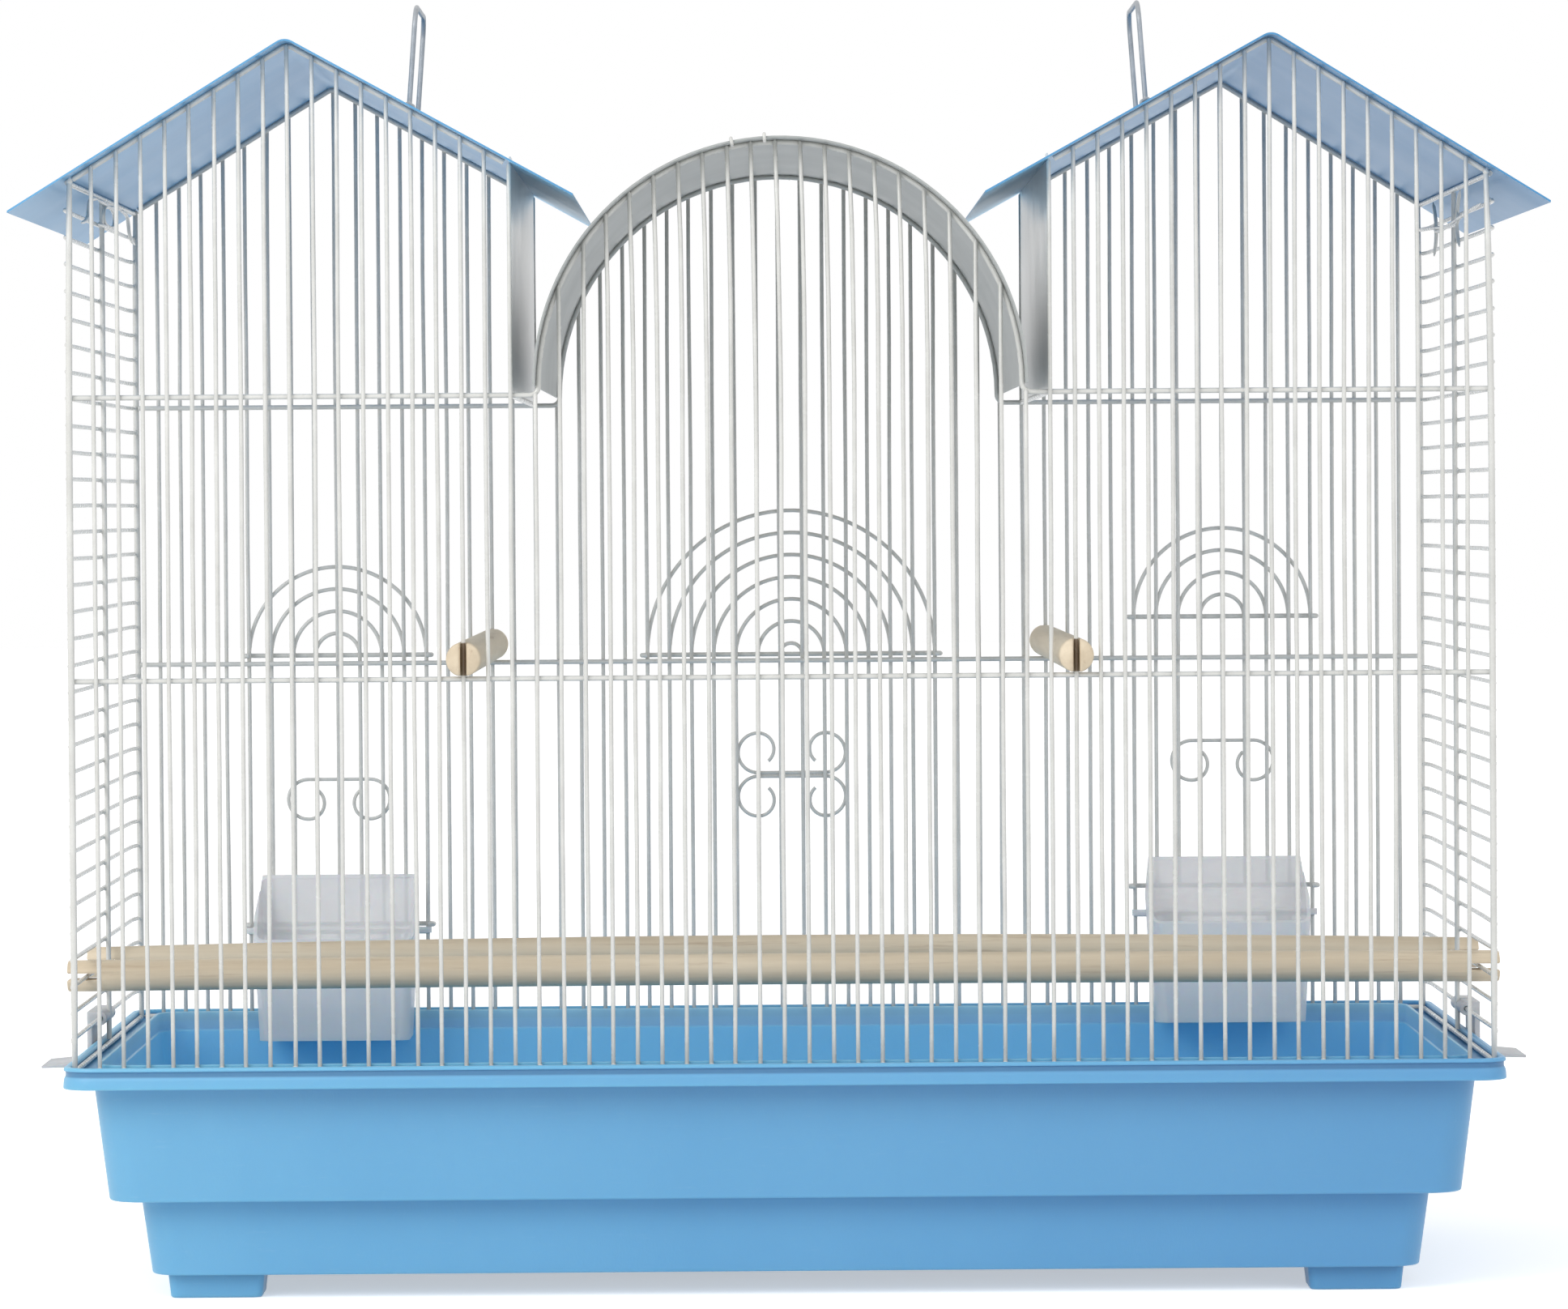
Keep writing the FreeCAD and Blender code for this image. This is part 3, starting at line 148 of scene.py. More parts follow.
world = bpy.data.worlds.new("studio_surround")
scene.world = world
world.use_nodes = True
tree = world.node_tree
tree.nodes.clear()
direct = seen_directly(tree)
room = node(tree, "ShaderNodeBackground", {"Color": WHITE, "Strength": ROOM_LIGHT})
white = node(tree, "ShaderNodeBackground", {"Color": WHITE, "Strength": 1.0})
choice = node(tree, "ShaderNodeMixShader")
link(tree, direct, 0, choice, "Fac")
link(tree, room, 0, choice, 1)
link(tree, white, 0, choice, 2)
surface = node(tree, "ShaderNodeOutputWorld")
link(tree, choice, 0, surface, "Surface")

LAMP_SIZE = 1.5
LAMP_AIM = Vector((0.0, 0.0, 0.3))
for side, place, watts in (("left", (-1.5, -1.9, 1.5), 28.0), ("right", (1.7, -2.1, 1.4), 9.0)):
    data = bpy.data.lights.new(side + "_front_lamp", "AREA")
    data.shape = "SQUARE"
    data.size = LAMP_SIZE
    data.energy = watts
    lamp = bpy.data.objects.new(side + "_front_lamp", data)
    lamp.location = place
    lamp.rotation_euler = (LAMP_AIM - Vector(place)).to_track_quat("-Z", "Y").to_euler()
    scene.collection.objects.link(lamp)


# The base is one deep tub, moulded in pale blue polystyrene: a step runs round it halfway down,
# the rim carries a bead, a channel for the wires and a turned-down skirt, and four feet stand
# under the corners. The wire cage stands in the rim's channel.
CORNER_STEPS = 10
FILLET_STEPS = 4
SUPPORT_GAP = 0.0006
SAME_LEVEL = 1e-6


def rounded_ring(half_width, half_depth, corner, height):
    """The points of a rectangle with round corners, counter-clockwise from the right side."""
    points = []
    for quarter, (side_x, side_y) in enumerate(((1, 1), (-1, 1), (-1, -1), (1, -1))):
        middle_x = side_x * (half_width - corner)
        middle_y = side_y * (half_depth - corner)
        for step in range(CORNER_STEPS + 1):
            angle = math.pi / 2 * (quarter + step / CORNER_STEPS)
            points.append(
                (middle_x + corner * math.cos(angle), middle_y + corner * math.sin(angle), height)
            )
    return points


def filleted(stops):
    """A profile of stops (half width, half depth, corner, height, fillet) with its edges rounded."""
    rings = [stops[0][:4]]
    for before, here, after in zip(stops, stops[1:], stops[2:]):
        at = Vector(here[:4])
        fillet = here[4]
        ways = []
        for other in (before, after):
            run = math.hypot(other[0] - here[0], other[3] - here[3])
            way = Vector(other[:4]) - at
            ways.append((way, run))
        (back, back_run), (on, on_run) = ways
        first = at + back * (fillet / back_run)
        last = at + on * (fillet / on_run)
        if back_run > 3 * (fillet + SUPPORT_GAP):
            rings.append(at + back * ((fillet + SUPPORT_GAP) / back_run))
        for step in range(FILLET_STEPS + 1):
            t = step / FILLET_STEPS
            rings.append(first * (1 - t) ** 2 + at * 2 * t * (1 - t) + last * t**2)
        if on_run > 3 * (fillet + SUPPORT_GAP):
            rings.append(at + on * ((fillet + SUPPORT_GAP) / on_run))
    rings.append(stops[-1][:4])
    return rings


def lofted(shell, rings):
    """Adds a closed skin through the rings, whose first and last are its flat ends, and returns its
    loops of points."""
    loops = [[shell.verts.new(point) for point in rounded_ring(*ring)] for ring in rings]
    count = len(loops[0])
    for low_loop, high_loop in zip(loops, loops[1:]):
        for i in range(count):
            j = (i + 1) % count
            shell.faces.new((low_loop[i], low_loop[j], high_loop[j], high_loop[i]))
    shell.faces.new(list(reversed(loops[0])))
    shell.faces.new(loops[-1])
    return loops


def mesh_object(name, shell):
    mesh = bpy.data.meshes.new(name)
    shell.to_mesh(mesh)
    shell.free()
    for face in mesh.polygons:
        face.use_smooth = True
    made = bpy.data.objects.new(name, mesh)
    scene.collection.objects.link(made)
    return made


RIM_X, RIM_Y, RIM_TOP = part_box("base_tub")[1]
SKIRT_CORNER = 0.014
SKIRT_FOOT = RIM_TOP - 0.010
SKIRT_WALL = 0.0022
BEAD_SET_BACK = 0.0003
BEAD_WIDTH = 0.0036
GROOVE = 0.0009
CHANNEL = RIM_TOP - 0.0045
LIP_X, LIP_Y = 0.3140, 0.1600
LIP_WIDTH = 0.0013
LIP_FOOT = RIM_TOP - 0.0090
UPPER_X, UPPER_Y = 0.3158, 0.1622
STEP_X, STEP_Y = 0.3094, 0.1558
STEP_LEVEL = 0.0468
LOWER_X, LOWER_Y = 0.2960, 0.1424
UNDER_X, UNDER_Y = 0.2915, 0.1379
UNDERSIDE = 0.0113
END_INSET = 0.02
TUB_WALL = 0.0024
UPPER_CORNER = 0.016
LOWER_CORNER = 0.014
bead_x = RIM_X - BEAD_SET_BACK
bead_y = RIM_Y - BEAD_SET_BACK
groove_x = bead_x - GROOVE
groove_y = bead_y - GROOVE
lip_x = LIP_X - LIP_WIDTH
lip_y = LIP_Y - LIP_WIDTH
mouth_corner = UPPER_CORNER - TUB_WALL

tub_profile = [
    (UNDER_X - END_INSET, UNDER_Y - END_INSET, LOWER_CORNER, UNDERSIDE, 0.0),
    (UNDER_X, UNDER_Y, LOWER_CORNER, UNDERSIDE, 0.0012),
    (LOWER_X, LOWER_Y, LOWER_CORNER, STEP_LEVEL, 0.0006),
    (STEP_X, STEP_Y, UPPER_CORNER, STEP_LEVEL, 0.0012),
    (UPPER_X, UPPER_Y, UPPER_CORNER, CHANNEL - TUB_WALL, 0.0006),
    (RIM_X - SKIRT_WALL, RIM_Y - SKIRT_WALL, SKIRT_CORNER - SKIRT_WALL, CHANNEL - TUB_WALL, 0.0005),
    (RIM_X - SKIRT_WALL, RIM_Y - SKIRT_WALL, SKIRT_CORNER - SKIRT_WALL, SKIRT_FOOT, 0.0005),
    (RIM_X, RIM_Y, SKIRT_CORNER, SKIRT_FOOT, 0.0010),
    (RIM_X - 0.0004, RIM_Y - 0.0004, SKIRT_CORNER, RIM_TOP - 0.0054, 0.0007),
    (groove_x, groove_y, SKIRT_CORNER - GROOVE, RIM_TOP - 0.0040, 0.0003),
    (groove_x, groove_y, SKIRT_CORNER - GROOVE, RIM_TOP - 0.0021, 0.0002),
    (bead_x, bead_y, SKIRT_CORNER, RIM_TOP - 0.0018, 0.0003),
    (bead_x, bead_y, SKIRT_CORNER, RIM_TOP, 0.0013),
    (RIM_X - BEAD_WIDTH, RIM_Y - BEAD_WIDTH, SKIRT_CORNER - BEAD_WIDTH, RIM_TOP, 0.0010),
    (RIM_X - BEAD_WIDTH, RIM_Y - BEAD_WIDTH, SKIRT_CORNER - BEAD_WIDTH, CHANNEL, 0.0005),
    (LIP_X, LIP_Y, mouth_corner, CHANNEL, 0.0004),
    (LIP_X, LIP_Y, mouth_corner, RIM_TOP, 0.0005),
    (lip_x, lip_y, mouth_corner - LIP_WIDTH, RIM_TOP, 0.0005),
    (lip_x, lip_y, mouth_corner - LIP_WIDTH, LIP_FOOT, 0.0003),
    (lip_x - 0.0007, lip_y - 0.0007, mouth_corner - LIP_WIDTH, LIP_FOOT - 0.0004, 0.0003),
    (STEP_X - TUB_WALL, STEP_Y - TUB_WALL, UPPER_CORNER - TUB_WALL, STEP_LEVEL + TUB_WALL, 0.0018),
    (LOWER_X - TUB_WALL, LOWER_Y - TUB_WALL, LOWER_CORNER - TUB_WALL, STEP_LEVEL + TUB_WALL, 0.0018),
    (UNDER_X - TUB_WALL, UNDER_Y - TUB_WALL, LOWER_CORNER - TUB_WALL, UNDERSIDE + TUB_WALL, 0.0030),
    (UNDER_X - END_INSET, UNDER_Y - END_INSET, LOWER_CORNER - TUB_WALL, UNDERSIDE + TUB_WALL, 0.0),
]
FOOT_OUTER_X, FOOT_INNER_X = 0.2842, 0.2398
FOOT_OUTER_Y, FOOT_INNER_Y = 0.1306, 0.1006
FOOT_DRAFT = 0.0012
FOOT_CORNER = 0.0035
FOOT_ROOT = 0.0010
FOOT_END_INSET = 0.006

shell = bmesh.new()
inside = shell.verts.layers.float.new("inside")
tub_rings = filleted(tub_profile)
tub_loops = lofted(shell, tub_rings)
lip_crest = max(i for i, ring in enumerate(tub_rings) if ring[3] > RIM_TOP - SAME_LEVEL)
for loop in tub_loops[lip_crest + 1:]:
    for point in loop:
        point[inside] = 1.0
foot_x = (FOOT_OUTER_X + FOOT_INNER_X) / 2
foot_y = (FOOT_OUTER_Y + FOOT_INNER_Y) / 2
half_x = (FOOT_OUTER_X - FOOT_INNER_X) / 2
half_y = (FOOT_OUTER_Y - FOOT_INNER_Y) / 2
foot_profile = [
    (half_x - FOOT_END_INSET, half_y - FOOT_END_INSET, FOOT_CORNER, 0.0, 0.0),
    (half_x - FOOT_DRAFT, half_y - FOOT_DRAFT, FOOT_CORNER, 0.0, 0.0012),
    (half_x, half_y, FOOT_CORNER, UNDERSIDE, 0.0004),
    (half_x, half_y, FOOT_CORNER, UNDERSIDE + FOOT_ROOT, 0.0),
]
for side_x, side_y in ((-1, -1), (1, -1), (-1, 1), (1, 1)):
    before = len(shell.verts)
    lofted(shell, filleted(foot_profile))
    shell.verts.ensure_lookup_table()
    for point in shell.verts[before:]:
        point.co += Vector((side_x * foot_x, side_y * foot_y, 0.0))
tub = mesh_object("moulded_base", shell)


def finish(name, dark, light, stretch, patch, rough, grain, depth, shader):
    """A procedural finish on object coordinates: patches between two colours, uneven gloss and a fine
    grain in the surface. It returns what a section needs to add its own marks."""
    made, tree = material_tree(name)
    place = node(tree, "ShaderNodeTexCoord")
    scaled = node(tree, "ShaderNodeMapping", {"Scale": stretch})
    link(tree, place, "Object", scaled, "Vector")
    patches = node(tree, "ShaderNodeTexNoise", {"Scale": patch, "Detail": 5.0, "Roughness": 0.6})
    link(tree, scaled, "Vector", patches, "Vector")
    spread = node(tree, "ShaderNodeMapRange", {"From Min": 0.3, "From Max": 0.7})
    link(tree, patches, "Fac", spread, "Value")
    colour = node(tree, "ShaderNodeMixRGB", {"Color1": dark, "Color2": light})
    link(tree, spread, "Result", colour, "Fac")
    gloss = node(tree, "ShaderNodeTexNoise", {"Scale": patch * 3.7, "Detail": 3.0})
    link(tree, scaled, "Vector", gloss, "Vector")
    roughness = node(tree, "ShaderNodeMapRange", {"To Min": rough[0], "To Max": rough[1]})
    link(tree, gloss, "Fac", roughness, "Value")
    pores = node(tree, "ShaderNodeTexNoise", {"Scale": grain, "Detail": 2.0})
    link(tree, scaled, "Vector", pores, "Vector")
    relief = node(tree, "ShaderNodeBump", {"Strength": 0.5, "Distance": depth})
    link(tree, pores, "Fac", relief, "Height")
    skin = node(tree, "ShaderNodeBsdfPrincipled", shader)
    link(tree, colour, "Color", skin, "Base Color")
    link(tree, roughness, "Result", skin, "Roughness")
    link(tree, relief, "Normal", skin, "Normal")
    surface = node(tree, "ShaderNodeOutputMaterial")
    link(tree, skin, "BSDF", surface, "Surface")
    return {
        "material": made, "tree": tree, "place": place, "scaled": scaled, "colour": colour,
        "skin": skin, "relief": relief,
    }


def add_marks(parts, factor, out, colour):
    """Lays a further colour over a finish wherever the factor is high."""
    tree = parts["tree"]
    over = node(tree, "ShaderNodeMixRGB", {"Color2": colour})
    link(tree, factor, out, over, "Fac")
    link(tree, parts["colour"], "Color", over, "Color1")
    link(tree, over, "Color", parts["skin"], "Base Color")
    parts["colour"] = over


def add_specks(parts, source, out, scale, detail, roughness, band, most, colour):
    """Marks in fine uneven patches, which come in where the noise passes through the band."""
    tree = parts["tree"]
    specks = node(tree, "ShaderNodeTexNoise", {"Scale": scale, "Detail": detail, "Roughness": roughness})
    link(tree, source, out, specks, "Vector")
    amount = node(tree, "ShaderNodeMapRange", {"From Min": band[0], "From Max": band[1], "To Max": most})
    link(tree, specks, "Fac", amount, "Value")
    add_marks(parts, amount, "Result", colour)


def add_fade(parts, left, right, most, colour):
    """A colour that comes in from left to right. It returns the split of the place into its axes."""
    tree = parts["tree"]
    axes = node(tree, "ShaderNodeSeparateXYZ")
    link(tree, parts["place"], "Object", axes, "Vector")
    share = node(tree, "ShaderNodeMapRange", {"From Min": left, "From Max": right, "To Max": most})
    link(tree, axes, "X", share, "Value")
    add_marks(parts, share, "Result", colour)
    return axes


# The darker right end and groove and the paler inside are painted, as the photograph's light
# shows them.
TUB_DARK = linear(114, 179, 216)
TUB_LIGHT = linear(123, 187, 222)
TUB_SCUFF = linear(166, 204, 228)
TUB_RIGHT_END = linear(96, 158, 204)
TUB_FADE = 0.85
TUB_INSIDE = linear(136, 208, 246)
TUB_INSIDE_SHARE = 0.8
LIP_PAINTED_LIGHT = linear(174, 186, 202)
LIP_PAINTED_LIGHT_SHARE = 0.40
LIP_LIGHT_FROM = LIP_FOOT - 0.0008
LIP_LIGHT_FULL = LIP_FOOT + 0.0006
GROOVE_PAINTED_SHADE = linear(58, 106, 152)
GROOVE_PAINTED_SHADE_SHARE = 0.6
GROOVE_LEVEL = RIM_TOP - 0.0030
GROOVE_EDGE = 0.0017
GROOVE_CORE = 0.0010

plastic = finish(
    "moulded_blue_plastic", TUB_DARK, TUB_LIGHT, (1.0, 1.0, 0.45), 7.0, (0.30, 0.44), 900.0, 0.00012,
    shader={"Specular IOR Level": 0.45, "Subsurface Weight": 0.6, "Subsurface Scale": 0.006,
            "Subsurface Radius": (0.8, 1.0, 1.0)},
)
tree = plastic["tree"]
across = node(tree, "ShaderNodeMapping", {"Scale": (1.0, 1.0, 9.0)})
link(tree, plastic["place"], "Object", across, "Vector")
add_specks(plastic, across, "Vector", 55.0, 6.0, 0.75, (0.60, 0.78), 0.35, TUB_SCUFF)
axes = add_fade(plastic, -0.33, 0.33, TUB_FADE, TUB_RIGHT_END)
# The groove under the bead gets a dark line: painted shade.
from_groove = node(tree, "ShaderNodeMath", {1: GROOVE_LEVEL}, operation="SUBTRACT")
link(tree, axes, "Z", from_groove, 0)
off_groove = node(tree, "ShaderNodeMath", operation="ABSOLUTE")
link(tree, from_groove, 0, off_groove, 0)
in_groove = node(
    tree, "ShaderNodeMapRange",
    {"From Min": GROOVE_EDGE, "From Max": GROOVE_CORE, "To Max": GROOVE_PAINTED_SHADE_SHARE},
)
link(tree, off_groove, 0, in_groove, "Value")
add_marks(plastic, in_groove, "Result", GROOVE_PAINTED_SHADE)
# The inner skin of the tub is painted paler than the outside: painted light.
inner_skin = node(tree, "ShaderNodeAttribute", attribute_name="inside")
inside_painted_light = node(tree, "ShaderNodeMath", {1: TUB_INSIDE_SHARE}, operation="MULTIPLY")
link(tree, inner_skin, "Fac", inside_painted_light, 0)
add_marks(plastic, inside_painted_light, 0, TUB_INSIDE)
# A paler band along the top of the inner lip: painted light.
lip_band = node(
    tree, "ShaderNodeMapRange",
    {"From Min": LIP_LIGHT_FROM, "From Max": LIP_LIGHT_FULL, "To Max": LIP_PAINTED_LIGHT_SHARE},
)
link(tree, axes, "Z", lip_band, "Value")
lip_painted_light = node(tree, "ShaderNodeMath", operation="MULTIPLY")
link(tree, lip_band, "Result", lip_painted_light, 0)
link(tree, inner_skin, "Fac", lip_painted_light, 1)
add_marks(plastic, lip_painted_light, 0, LIP_PAINTED_LIGHT)
tub.data.materials.append(plastic["material"])
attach(tub, "base")
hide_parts("base_tub")


# The straight wires of the four walls: hard-drawn steel, 2 mm thick, cut to length, welded to
# the rails and then dipped in white enamel. None of them is quite straight.
def node_tree(name, inputs):
    """A Geometry Nodes tree with its named inputs, and the nodes that they come in and leave by."""
    tree = bpy.data.node_groups.new(name, "GeometryNodeTree")
    tree.interface.new_socket("Geometry", in_out="INPUT", socket_type="NodeSocketGeometry")
    for label, kind in inputs:
        tree.interface.new_socket(label, in_out="INPUT", socket_type="NodeSocket" + kind)
    tree.interface.new_socket("Geometry", in_out="OUTPUT", socket_type="NodeSocketGeometry")
    return tree, node(tree, "NodeGroupInput"), node(tree, "NodeGroupOutput")


def shaped(name, base, tree, **settings):
    """Runs the tree on a base mesh and returns the result as a plain mesh object."""
    rig = bpy.data.objects.new(name + "_lines", base)
    scene.collection.objects.link(rig)
    maker = rig.modifiers.new("maker", "NODES")
    maker.node_group = tree
    for item in tree.interface.items_tree:
        if item.item_type == "SOCKET" and item.in_out == "INPUT" and item.name in settings:
            maker[item.identifier] = settings[item.name]
    graph = bpy.context.evaluated_depsgraph_get()
    mesh = bpy.data.meshes.new_from_object(
        rig.evaluated_get(graph), preserve_all_data_layers=True, depsgraph=graph
    )
    bpy.data.objects.remove(rig)
    mesh.name = name
    made = bpy.data.objects.new(name, mesh)
    scene.collection.objects.link(made)
    return made


wire_tree, entry, leave = node_tree(
    "coated_wire",
    (("Thickness", "Float"), ("Sides", "Int"), ("Sway", "Vector"), ("Sway Rate", "Vector"),
     ("Seed", "Float"), ("Coating", "Material")),
)
lines = node(wire_tree, "GeometryNodeMeshToCurve")
link(wire_tree, entry, "Geometry", lines, "Mesh")
place = node(wire_tree, "GeometryNodeInputPosition")
rated = node(wire_tree, "ShaderNodeVectorMath", operation="MULTIPLY")
link(wire_tree, place, 0, rated, 0)
link(wire_tree, entry, "Sway Rate", rated, 1)
wander = node(wire_tree, "ShaderNodeTexNoise", {"Scale": 1.0, "Detail": 1.0}, noise_dimensions="4D")
link(wire_tree, rated, 0, wander, "Vector")
link(wire_tree, entry, "Seed", wander, "W")
centred = node(wire_tree, "ShaderNodeVectorMath", {1: (0.5, 0.5, 0.5)}, operation="SUBTRACT")
link(wire_tree, wander, "Color", centred, 0)
shift = node(wire_tree, "ShaderNodeVectorMath", operation="MULTIPLY")
link(wire_tree, centred, 0, shift, 0)
link(wire_tree, entry, "Sway", shift, 1)
bowed = node(wire_tree, "GeometryNodeSetPosition")
link(wire_tree, lines, "Curve", bowed, "Geometry")
link(wire_tree, shift, 0, bowed, "Offset")
along = node(wire_tree, "GeometryNodeSplineParameter")
whole = node(wire_tree, "GeometryNodeSplineLength")
left_over = node(wire_tree, "ShaderNodeMath", operation="SUBTRACT")
link(wire_tree, whole, "Length", left_over, 0)
link(wire_tree, along, "Length", left_over, 1)
to_end = node(wire_tree, "ShaderNodeMath", operation="MINIMUM")
link(wire_tree, along, "Length", to_end, 0)
link(wire_tree, left_over, 0, to_end, 1)
half = node(wire_tree, "ShaderNodeMath", {1: 0.5}, operation="MULTIPLY")
link(wire_tree, entry, "Thickness", half, 0)
depth_in = node(wire_tree, "ShaderNodeMath", operation="DIVIDE", use_clamp=True)
link(wire_tree, to_end, 0, depth_in, 0)
link(wire_tree, half, 0, depth_in, 1)
dome = node(wire_tree, "ShaderNodeMapRange", {"To Min": 0.35}, interpolation_type="SMOOTHSTEP")
link(wire_tree, depth_in, 0, dome, "Value")
section = node(wire_tree, "GeometryNodeCurvePrimitiveCircle")
link(wire_tree, entry, "Sides", section, "Resolution")
link(wire_tree, half, 0, section, "Radius")
drawn = node(wire_tree, "GeometryNodeCurveToMesh", {"Fill Caps": True})
link(wire_tree, bowed, "Geometry", drawn, "Curve")
link(wire_tree, section, "Curve", drawn, "Profile Curve")
link(wire_tree, dome, "Result", drawn, "Scale")
real = node(wire_tree, "GeometryNodeRealizeInstances")
link(wire_tree, drawn, "Mesh", real, "Geometry")
smooth = node(wire_tree, "GeometryNodeSetShadeSmooth")
link(wire_tree, real, "Geometry", smooth, "Geometry")
coated = node(wire_tree, "GeometryNodeSetMaterial")
link(wire_tree, smooth, "Geometry", coated, "Geometry")
link(wire_tree, entry, "Coating", coated, "Material")
link(wire_tree, coated, "Geometry", leave, "Geometry")

ENAMEL_DARK = linear(206, 206, 202)
ENAMEL_LIGHT = linear(222, 222, 218)
ENAMEL_GRIME = linear(172, 166, 154)
enamel = finish(
    "white_wire_enamel", ENAMEL_DARK, ENAMEL_LIGHT, (1.0, 1.0, 1.0), 60.0, (0.18, 0.34), 1400.0, 0.00005,
    shader={"Specular IOR Level": 0.55, "Coat Weight": 0.25, "Coat Roughness": 0.15},
)
add_specks(enamel, enamel["place"], "Object", 240.0, 4.0, 0.7, (0.62, 0.80), 0.30, ENAMEL_GRIME)


def middle(name):
    low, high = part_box(name)
    return (low + high) / 2


# Where a wire sits deep in the kerf of a short perch, its enamel is painted dark brown: painted shade.
KERF_PAINTED_SHADE = linear(96, 76, 52)
KERF_SHADE_REACH = 0.0078
KERF_SHADE_FULL = 0.0072
KERF_SHADE_SHARE = 0.92
tree = enamel["tree"]
nearest = None
for perch in ("left_short_perch", "right_short_perch"):
    for wall in ("plain_wall", "door_wall"):
        grip = middle(perch)
        grip.y = middle(wall + "_wires").y
        away = node(tree, "ShaderNodeVectorMath", {1: grip}, operation="DISTANCE")
        link(tree, enamel["place"], "Object", away, 0)
        if nearest is None:
            nearest = away
        else:
            nearer = node(tree, "ShaderNodeMath", operation="MINIMUM")
            link(tree, nearest, "Value", nearer, 0)
            link(tree, away, "Value", nearer, 1)
            nearest = nearer
kerf_shade = node(
    tree, "ShaderNodeMapRange",
    {"From Min": KERF_SHADE_REACH, "From Max": KERF_SHADE_FULL, "To Max": KERF_SHADE_SHARE},
)
link(tree, nearest, "Value", kerf_shade, "Value")
add_marks(enamel, kerf_shade, "Result", KERF_PAINTED_SHADE)

SPAN = 0.035
TIP_STEPS = (0.0, 0.0003, 0.0010)
SAME_POINT = 1e-7


def rods(name):
    """The two ends of the middle line of every straight rod in a CAD node."""
    solid = bmesh.new()
    solid.from_mesh(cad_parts[name].data)
    bmesh.ops.remove_doubles(solid, verts=solid.verts, dist=SAME_POINT)
    left = set(solid.verts)
    found = []
    while left:
        first = left.pop()
        island = [first]
        for point in island:
            for edge in point.link_edges:
                other = edge.other_vert(point)
                if other in left:
                    left.remove(other)
                    island.append(other)
        low = Vector(min(point.co[i] for point in island) for i in range(3))
        high = Vector(max(point.co[i] for point in island) for i in range(3))
        longest = max(range(3), key=lambda i: high[i] - low[i])
        start = (low + high) / 2
        end = start.copy()
        start[longest] = low[longest]
        end[longest] = high[longest]
        found.append((start, end))
    solid.free()
    return sorted(found, key=lambda ends: tuple(round(c, 5) for c in ends[0]))


def line_mesh(name, routes):
    """A mesh of bare edges along each route of points."""
    points = []
    edges = []
    for route in routes:
        edges.extend((len(points) + i, len(points) + i + 1) for i in range(len(route) - 1))
        points.extend(route)
    mesh = bpy.data.meshes.new(name)
    mesh.from_pydata(points, edges, [])
    return mesh


def straight_route(start, end):
    """Points along a straight wire: close together at its tips, and about a span apart between them."""
    length = (end - start).length
    way = (end - start) / length
    inner = max(2, round(length / SPAN))
    tip = TIP_STEPS[-1]
    distances = list(TIP_STEPS)
    distances += [tip + (length - 2 * tip) * i / inner for i in range(1, inner)]
    distances += [length - step for step in reversed(TIP_STEPS)]
    return [start + way * distance for distance in distances]


WIRE = 0.002
WIRE_SIDES = 12
WALLS = (
    ("plain_wall", (0.0014, 0.00012, 0.0), (700.0, 3.0, 8.0), 1.0),
    ("door_wall", (0.0012, 0.00012, 0.0), (700.0, 3.0, 8.0), 5.0),
    ("left_wall", (0.00010, 0.0, 0.00090), (3.0, 9.0, 700.0), 9.0),
    ("right_wall", (0.00010, 0.0, 0.00090), (3.0, 9.0, 700.0), 13.0),
)
POST_X = 0.322625
TUCK_FROM = 0.136
TUCK_TO = 0.1587
TUCK_STEPS = 8
TUCK_ARC = 0.9999
LEANING_HALF = 0.085
LEAN_FROM = 0.43
LEAN_HEIGHT = 0.09
LEAN = 0.0014


def tucked(route):
    """A side wire whose two ends bend in behind the corner posts, where they are welded."""
    way = route[0].x - math.copysign(POST_X, route[0].x)
    kept = [point for point in route if abs(point.y) < TUCK_FROM]
    tips = []
    for side in (-1, 1):
        tip = []
        for step in range(TUCK_STEPS + 1):
            share = step / TUCK_STEPS
            y = TUCK_FROM + (TUCK_TO - TUCK_FROM) * share
            turned_in = way * (1 - math.sqrt(1 - share ** 2 * TUCK_ARC))
            tip.append(Vector((route[0].x - turned_in, side * y, route[0].z)))
        tips.append(tip)
    return list(reversed(tips[0])) + kept + tips[1]


def leaning_top(route):
    """A wire under the arch: bent aside a little at its top, where it was pushed on to the arch."""
    if abs(route[0].x) < LEANING_HALF:
        for point in route:
            above = max(0.0, point.z - LEAN_FROM) / LEAN_HEIGHT
            point.x -= LEAN * above * above
    return route


for wall, sway, rate, seed in WALLS:
    routes = [straight_route(*ends) for ends in rods(wall + "_wires")]
    if wall in ("left_wall", "right_wall"):
        routes = [tucked(route) for route in routes]
    if wall == "plain_wall":
        routes = [leaning_top(route) for route in routes]
    wires = shaped(
        wall + "_enamelled_wires", line_mesh(wall, routes), wire_tree, Thickness=WIRE, Sides=WIRE_SIDES,
        Sway=sway, **{"Sway Rate": rate}, Seed=seed, Coating=enamel["material"],
    )
    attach(wires, "cage")
    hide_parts(wall + "_wires")


# The rails, gable frames, eave wires, sills, uprights and corner posts that the wires are
# welded to: thicker wire of 2.4 mm, the posts 3 mm, in the same white enamel.
def coat(material, *names):
    """Gives the carried-over nodes their finish."""
    for name in names:
        for place_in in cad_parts[name].material_slots:
            place_in.material = material


coat(
    enamel["material"],
    "plain_wall_lower_rail", "plain_wall_eave_rail", "plain_wall_gable_frames",
    "door_wall_lower_rail", "door_wall_eave_rail", "door_wall_gable_frames",
    "door_sills", "valley_rails", "left_wall_top_rail", "left_wall_upright",
    "right_wall_top_rail", "right_wall_upright",
)

